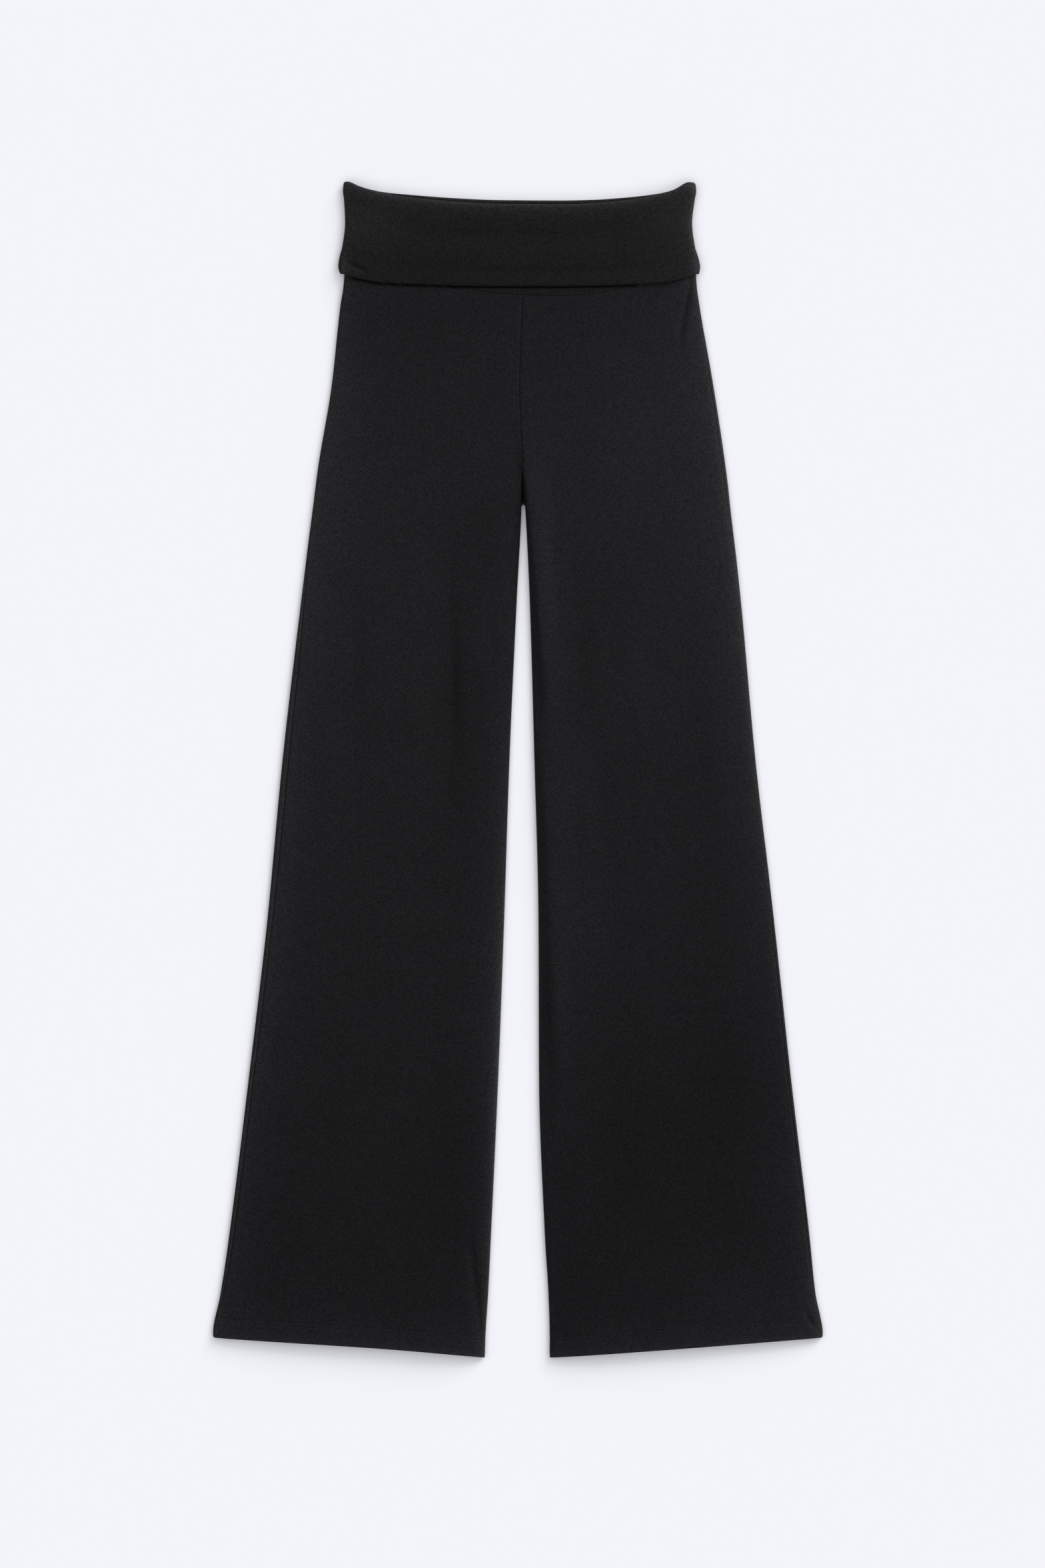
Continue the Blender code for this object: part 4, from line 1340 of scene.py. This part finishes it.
@dataclass(frozen=True)
class JerseyFinish:
    """Black cotton and elastane single jersey, knitted, dyed in the piece and washed soft.

    The wales run along the leg as rows of small Vs. The real ones are about 0.6 mm apart, which is too
    fine to show, so they are drawn wider. Its colour is made lighter towards the laid edges and the top
    fold as painted light, and darker in the wedge above the crotch, under the fallen leaf, in the side
    seams and between the wales as painted shade. It holds a few specks of pale lint.
    """

    name: str
    colour: str = "1f1f21"
    roughness: float = 0.88
    specular: float = 0.06
    sheen: float = 0.04
    sheen_roughness: float = 0.45
    sheen_tint: str = "cfd0d8"
    wale: float = 0.00095  # coarser than the real 0.6 mm
    course: float = 0.00080  # coarser than the real 0.5 mm
    slant: float = 0.45  # how far up each V's arms run, in wales
    knit_depth: float = 0.00010
    fleck_size: float = 0.00060  # a stitch, whose fibres catch more or less light than its neighbours'
    fleck_amount: float = 0.58
    grain_size: float = 0.0009
    grain_height: float = 0.5  # as a share of the knit's
    mottle_size: float = 0.045
    mottle_amount: float = 0.08
    knit_shade: float = 0.10  # painted shade: how much darker the knit's colour is made between its wales
    lint_size: float = 0.0060  # of the cells that may hold a speck
    lint_rare: float = 0.992  # the share of them that hold none
    lint_reach: float = 0.10  # a speck's radius, in cells
    lint_colour: str = "333337"

    def knit(self, sheet: NodeSheet) -> bpy.types.Node:
        """Height of the knit: |sin(π w)| × (0.6 + 0.4 sin(2π (2 × slant × arm + c))).

        w counts the wales across, c the courses along, and the arm is how far w is from a whole one.

        Args:
            sheet: The material's nodes.

        Returns:
            The node that gives the height, from 0 to 1.
        """
        cut = sheet.add("ShaderNodeUVMap", uv_map="cut")
        parts = sheet.add("ShaderNodeSeparateXYZ", {0: cut}).outputs
        wales = sheet.add(MATH, {0: parts["X"], 1: 1 / self.wale}, operation="MULTIPLY")
        half_turns = sheet.add(MATH, {0: wales, 1: math.pi}, operation="MULTIPLY")
        rib = sheet.add(MATH, {0: sheet.add(MATH, {0: half_turns}, operation="SINE")}, operation="ABSOLUTE")
        arm = sheet.add(MATH, {0: wales, 1: 0.5}, operation="PINGPONG")
        courses = sheet.add(MATH, {0: parts["Y"], 1: 1 / self.course}, operation="MULTIPLY")
        stitch = sheet.add(MATH, {0: arm, 1: self.slant * 2, 2: courses}, operation="MULTIPLY_ADD")
        turns = sheet.add(MATH, {0: stitch, 1: 2 * math.pi}, operation="MULTIPLY")
        wave = sheet.add(MATH, {0: turns}, operation="SINE")
        loops = sheet.add(MATH, {0: wave, 1: 0.4, 2: 0.6}, operation="MULTIPLY_ADD")
        return sheet.add(MATH, {0: rib, 1: loops}, operation="MULTIPLY")

    def light(self, sheet: NodeSheet, place: bpy.types.NodeSocket, knit: bpy.types.Node) -> bpy.types.Node:
        """How light the cloth is: the product of gain × source + least over its sources.

        Args:
            sheet: The material's nodes.
            place: Object coordinates.
            knit: The knit's height.

        Returns:
            The node that gives it, about 1.
        """
        cells = sheet.add(
            "ShaderNodeTexVoronoi", {"Vector": place, "Scale": 1 / self.fleck_size}, feature="F1"
        )
        fleck = sheet.add("ShaderNodeSeparateXYZ", {0: cells.outputs["Color"]})
        mottle = sheet.add(
            "ShaderNodeTexNoise", {"Vector": place, "Scale": 1 / self.mottle_size, "Detail": 4.0}
        )
        # Painted light along the edges and folds, and painted shade in the wedge, under the leaf and in the
        # side seams, kept on each point
        nap = sheet.add("ShaderNodeAttribute", attribute_name="nap")
        sources = (
            (fleck.outputs["X"], 2 * self.fleck_amount, 1 - self.fleck_amount),
            (mottle.outputs["Fac"], 2 * self.mottle_amount, 1 - self.mottle_amount),
            (nap.outputs["Fac"], 1.0, 1.0),
            # painted shade between the wales
            (knit, self.knit_shade, 1 - self.knit_shade),
        )
        light: object = 1.0
        for source, gain, least in sources:
            part = sheet.add(MATH, {0: source, 1: gain, 2: least}, operation="MULTIPLY_ADD")
            light = sheet.add(MATH, {0: part, 1: light}, operation="MULTIPLY")
        return light

    def lint(self, sheet: NodeSheet, place: bpy.types.NodeSocket) -> bpy.types.Node:
        """Specks of lint: a small disc in a few of the cells of a cellular pattern.

        Args:
            sheet: The material's nodes.
            place: Object coordinates.

        Returns:
            The node that gives 1 on a speck and 0 elsewhere.
        """
        cells = sheet.add(
            "ShaderNodeTexVoronoi", {"Vector": place, "Scale": 1 / self.lint_size}, feature="F1"
        )
        chance = sheet.add("ShaderNodeSeparateXYZ", {0: cells.outputs["Color"]})
        rare = sheet.add(MATH, {0: chance, 1: self.lint_rare}, operation="GREATER_THAN")
        near = sheet.add(MATH, {0: cells.outputs["Distance"], 1: self.lint_reach}, operation="LESS_THAN")
        return sheet.add(MATH, {0: rare, 1: near}, operation="MULTIPLY")

    def make(self) -> bpy.types.Material:
        """Builds the material.

        Returns:
            The jersey.
        """
        sheet = NodeSheet(self.name)
        place = sheet.add("ShaderNodeTexCoord").outputs["Object"]
        knit = self.knit(sheet)
        light = self.light(sheet, place, knit)
        grey = sheet.add("ShaderNodeCombineXYZ", {0: light, 1: light, 2: light})
        base = sheet.add(
            "ShaderNodeMix", {"Factor": 1.0, "A": linear(self.colour), "B": grey},
            data_type="RGBA", blend_type="MULTIPLY", clamp_result=False,
        )
        colour = sheet.add(
            "ShaderNodeMix",
            {"Factor": self.lint(sheet, place), "A": base.outputs["Result"], "B": linear(self.lint_colour)},
            data_type="RGBA",
        )
        grain = sheet.add(
            "ShaderNodeTexNoise", {"Vector": place, "Scale": 1 / self.grain_size, "Detail": 1.0}
        )
        height = sheet.add(
            MATH, {0: grain.outputs["Fac"], 1: self.grain_height, 2: knit}, operation="MULTIPLY_ADD"
        )
        bump = sheet.add("ShaderNodeBump", {"Distance": self.knit_depth, "Strength": 1.0, "Height": height})
        sheet.set_shader(
            Base_Color=colour.outputs["Result"],
            Roughness=self.roughness,
            Specular_IOR_Level=self.specular,
            Sheen_Weight=self.sheen,
            Sheen_Roughness=self.sheen_roughness,
            Sheen_Tint=linear(self.sheen_tint),
            Normal=bump,
        )
        return sheet.material


@dataclass(frozen=True)
class ThreadFinish:
    """Black spun polyester sewing thread, a little glossier than the jersey.

    Its twist, about 0.9 mm long, is too fine to show and is not drawn. Soft slanting bands, far longer
    than a stitch, vary its light a little.
    """

    name: str = "black_sewing_thread"
    colour: str = "28282b"
    roughness: float = 0.6
    specular: float = 0.25
    band_pitch: float = 0.01131  # along X
    band_waver: float = 0.6
    band_depth: float = 0.00006

    def make(self) -> bpy.types.Material:
        """Builds the material: bands on Object coordinates, which lie π / 5 apart at a scale of 1.

        Returns:
            The thread.
        """
        sheet = NodeSheet(self.name)
        place = sheet.add("ShaderNodeTexCoord").outputs["Object"]
        bands = sheet.add(
            "ShaderNodeTexWave",
            {"Vector": place, "Scale": math.pi / 5 / self.band_pitch, "Distortion": self.band_waver},
            bands_direction="DIAGONAL",
        ).outputs["Fac"]
        sheet.set_shader(
            Base_Color=linear(self.colour),
            Roughness=self.roughness,
            Specular_IOR_Level=self.specular,
            Normal=sheet.add("ShaderNodeBump", {"Distance": self.band_depth, "Height": bands}),
        )
        return sheet.material


@dataclass(frozen=True)
class FloorFinish:
    """Matt white painted board, rolled on, so that it is even and has no gloss."""

    name: str = "matt_white_board"
    colour: str = "f4f5fa"
    roughness: float = 1.0
    roller_size: float = 0.0025
    roller_depth: float = 0.00002

    def make(self) -> bpy.types.Material:
        """Builds the material, with a faint roller texture.

        Returns:
            The board.
        """
        sheet = NodeSheet(self.name)
        place = sheet.add("ShaderNodeTexCoord").outputs["Object"]
        roller = sheet.add("ShaderNodeTexNoise", {"Vector": place, "Scale": 1 / self.roller_size})
        bump = sheet.add("ShaderNodeBump", {"Distance": self.roller_depth, "Height": roller.outputs["Fac"]})
        sheet.set_shader(
            Base_Color=linear(self.colour),
            Roughness=self.roughness,
            Specular_IOR_Level=0.0,
            Normal=bump,
        )
        return sheet.material


@dataclass
class Trousers:
    """The six sewn pieces and the hems' stitches, dressed."""

    legs: tuple[LegPanel, ...] = (
        LegPanel(Side.RIGHT, Layer.FRONT, (0.265, 1.039), 0.2238),
        LegPanel(Side.LEFT, Layer.FRONT, (0.266, 1.037), 0.2252),
        LegPanel(Side.RIGHT, Layer.BACK, (0.265, 1.043), 0.2329, middle_columns=80, row_step=0.008),
        LegPanel(Side.LEFT, Layer.BACK, (0.265, 1.043), 0.2302, middle_columns=80, row_step=0.008),
    )
    bands: tuple[WaistBand, ...] = (
        WaistBand(Layer.FRONT, (0.355, 0.173), 0.0563),
        WaistBand(Layer.BACK, (0.352, 0.172), 0.0520),
    )

    def dress(
        self, piece: bpy.types.Object, finish: bpy.types.Material, node: str | None
    ) -> None:
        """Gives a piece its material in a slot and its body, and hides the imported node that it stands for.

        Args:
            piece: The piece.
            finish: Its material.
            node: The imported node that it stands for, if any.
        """
        piece.data.materials.append(finish)
        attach(piece, "root")
        if node:
            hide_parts(node)
        LOG.info("%s: %d points, %d faces", piece.name, len(piece.data.vertices), len(piece.data.polygons))

    def build(self) -> list[bpy.types.Object]:
        """Builds and dresses the pieces and the stitches.

        Returns:
            All the pieces.
        """
        leg_jersey = JerseyFinish("black_leg_jersey").make()
        band_jersey = JerseyFinish("black_band_jersey", colour="1d1c1d").make()
        thread = ThreadFinish().make()
        cloth: dict[str, bpy.types.Object] = {}
        for panel in self.legs:
            cloth[panel.node] = panel.shell().build()
            self.dress(cloth[panel.node], leg_jersey, panel.node)
        for band in self.bands:
            cloth[band.node] = band.shell().build()
            self.dress(cloth[band.node], band_jersey, band.node)
        stitches: dict[Side, bpy.types.Object] = {}
        for side in Side:
            panels = tuple(panel for panel in self.legs if panel.side is side)
            stitches[side] = HemStitches(panels).build(f"hem_stitches_{side.word}_leg")
            self.dress(stitches[side], thread, None)
        return [*cloth.values(), *stitches.values()]


@dataclass(frozen=True)
class Lamp:
    """One lamp of the studio: a far one, which is a sun, or a near square one with a size."""

    name: str
    strength: float
    place: tuple[float, float, float]  # where it is, or for a sun the way towards it
    spread: float  # a sun's width in the sky in degrees, or a near lamp's side in metres
    near: bool
    lights_garment: bool


@dataclass
class Studio:
    """A pale board under the garment, a camera straight above it and soft light from overhead.

    The garment and the board have lamps of their own, as a picture has whose board was lit to an
    even white: those of the garment come from the upper right and from above the thighs.
    """

    garment: list[bpy.types.Object]
    view_centre: tuple[float, float] = (0.0044, -0.0138)
    view_height: float = 1.508
    lens: float = 150.0
    sensor_height: float = 36.0
    floor_z: float = -0.0002
    floor_half: float = 6.0
    world_colour: str = "fafaff"
    world_strength: float = 0.15
    aim: tuple[float, float, float] = (0.0, 0.10, 0.0)
    lamps: tuple[Lamp, ...] = (
        Lamp("board_overhead", 2.0, (0.0, 0.0, 1.0), 100.0, False, False),
        Lamp("board_key", 1.3, (1.0, 1.33, 1.0), 35.0, False, False),
        Lamp("garment_key", 2.25, (1.15, 1.0, 0.80), 30.0, False, True),
        Lamp("garment_near", 3.45, (0.12, 0.22, 0.85), 0.4, True, True),
    )

    def camera(self) -> None:
        """Sets the camera over the garment, with the top of the picture at +Y.

        Its distance is lens × view height / sensor height.
        """
        data = bpy.data.cameras.new("camera")
        data.lens = self.lens
        data.sensor_fit = "VERTICAL"
        data.sensor_height = self.sensor_height
        camera = bpy.data.objects.new("camera", data)
        camera.location = (*self.view_centre, self.lens * self.view_height / self.sensor_height)
        bpy.context.scene.collection.objects.link(camera)
        bpy.context.scene.camera = camera

    def receivers(self, name: str, pieces: Sequence[bpy.types.Object]) -> bpy.types.Collection:
        """Makes a collection of what a set of lamps lights.

        Args:
            name: The collection's name.
            pieces: What they light.

        Returns:
            The collection.
        """
        group = bpy.data.collections.new(name)
        for piece in pieces:
            group.objects.link(piece)
        return group

    def lamp(self, lamp: Lamp, lit: bpy.types.Collection) -> None:
        """Adds a lamp, turned so that it shines from its place towards the garment.

        Args:
            lamp: The lamp.
            lit: What it lights.
        """
        data = bpy.data.lights.new(lamp.name, "AREA" if lamp.near else "SUN")
        data.energy = lamp.strength
        way = np.array(lamp.place)
        if lamp.near:
            data.size = lamp.spread
            way = way - np.array(self.aim)
        else:
            data.angle = math.radians(lamp.spread)
        x, y, z = way
        item = bpy.data.objects.new(lamp.name, data)
        item.location = lamp.place
        item.rotation_euler = (math.atan2(math.hypot(x, y), z), 0.0, math.atan2(x, -y))
        item.light_linking.receiver_collection = lit
        bpy.context.scene.collection.objects.link(item)

    def floor(self) -> bpy.types.Object:
        """Makes the board that the garment lies on.

        Returns:
            The board.
        """
        half = self.floor_half
        corners = np.array(
            ((-half, -half, self.floor_z), (half, -half, self.floor_z),
             (half, half, self.floor_z), (-half, half, self.floor_z))
        )
        board = mesh_object("board", corners, np.array(((0, 1, 2, 3),)))
        board.data.materials.append(FloorFinish().make())
        return board

    def build(self) -> None:
        """Builds the studio and sets how its light is shown."""
        self.camera()
        on_board = self.receivers("lit_board", [self.floor()])
        on_garment = self.receivers("lit_garment", self.garment)
        for lamp in self.lamps:
            self.lamp(lamp, on_garment if lamp.lights_garment else on_board)
        world = bpy.data.worlds.new("studio")
        world.use_nodes = True
        background = world.node_tree.nodes["Background"]
        background.inputs["Color"].default_value = linear(self.world_colour)
        background.inputs["Strength"].default_value = self.world_strength
        bpy.context.scene.world = world
        bpy.context.scene.view_settings.view_transform = "Standard"


def main() -> None:
    logging.basicConfig(level=logging.INFO, format="%(message)s")
    Studio(Trousers().build()).build()


if __name__ == "__main__":
    main()
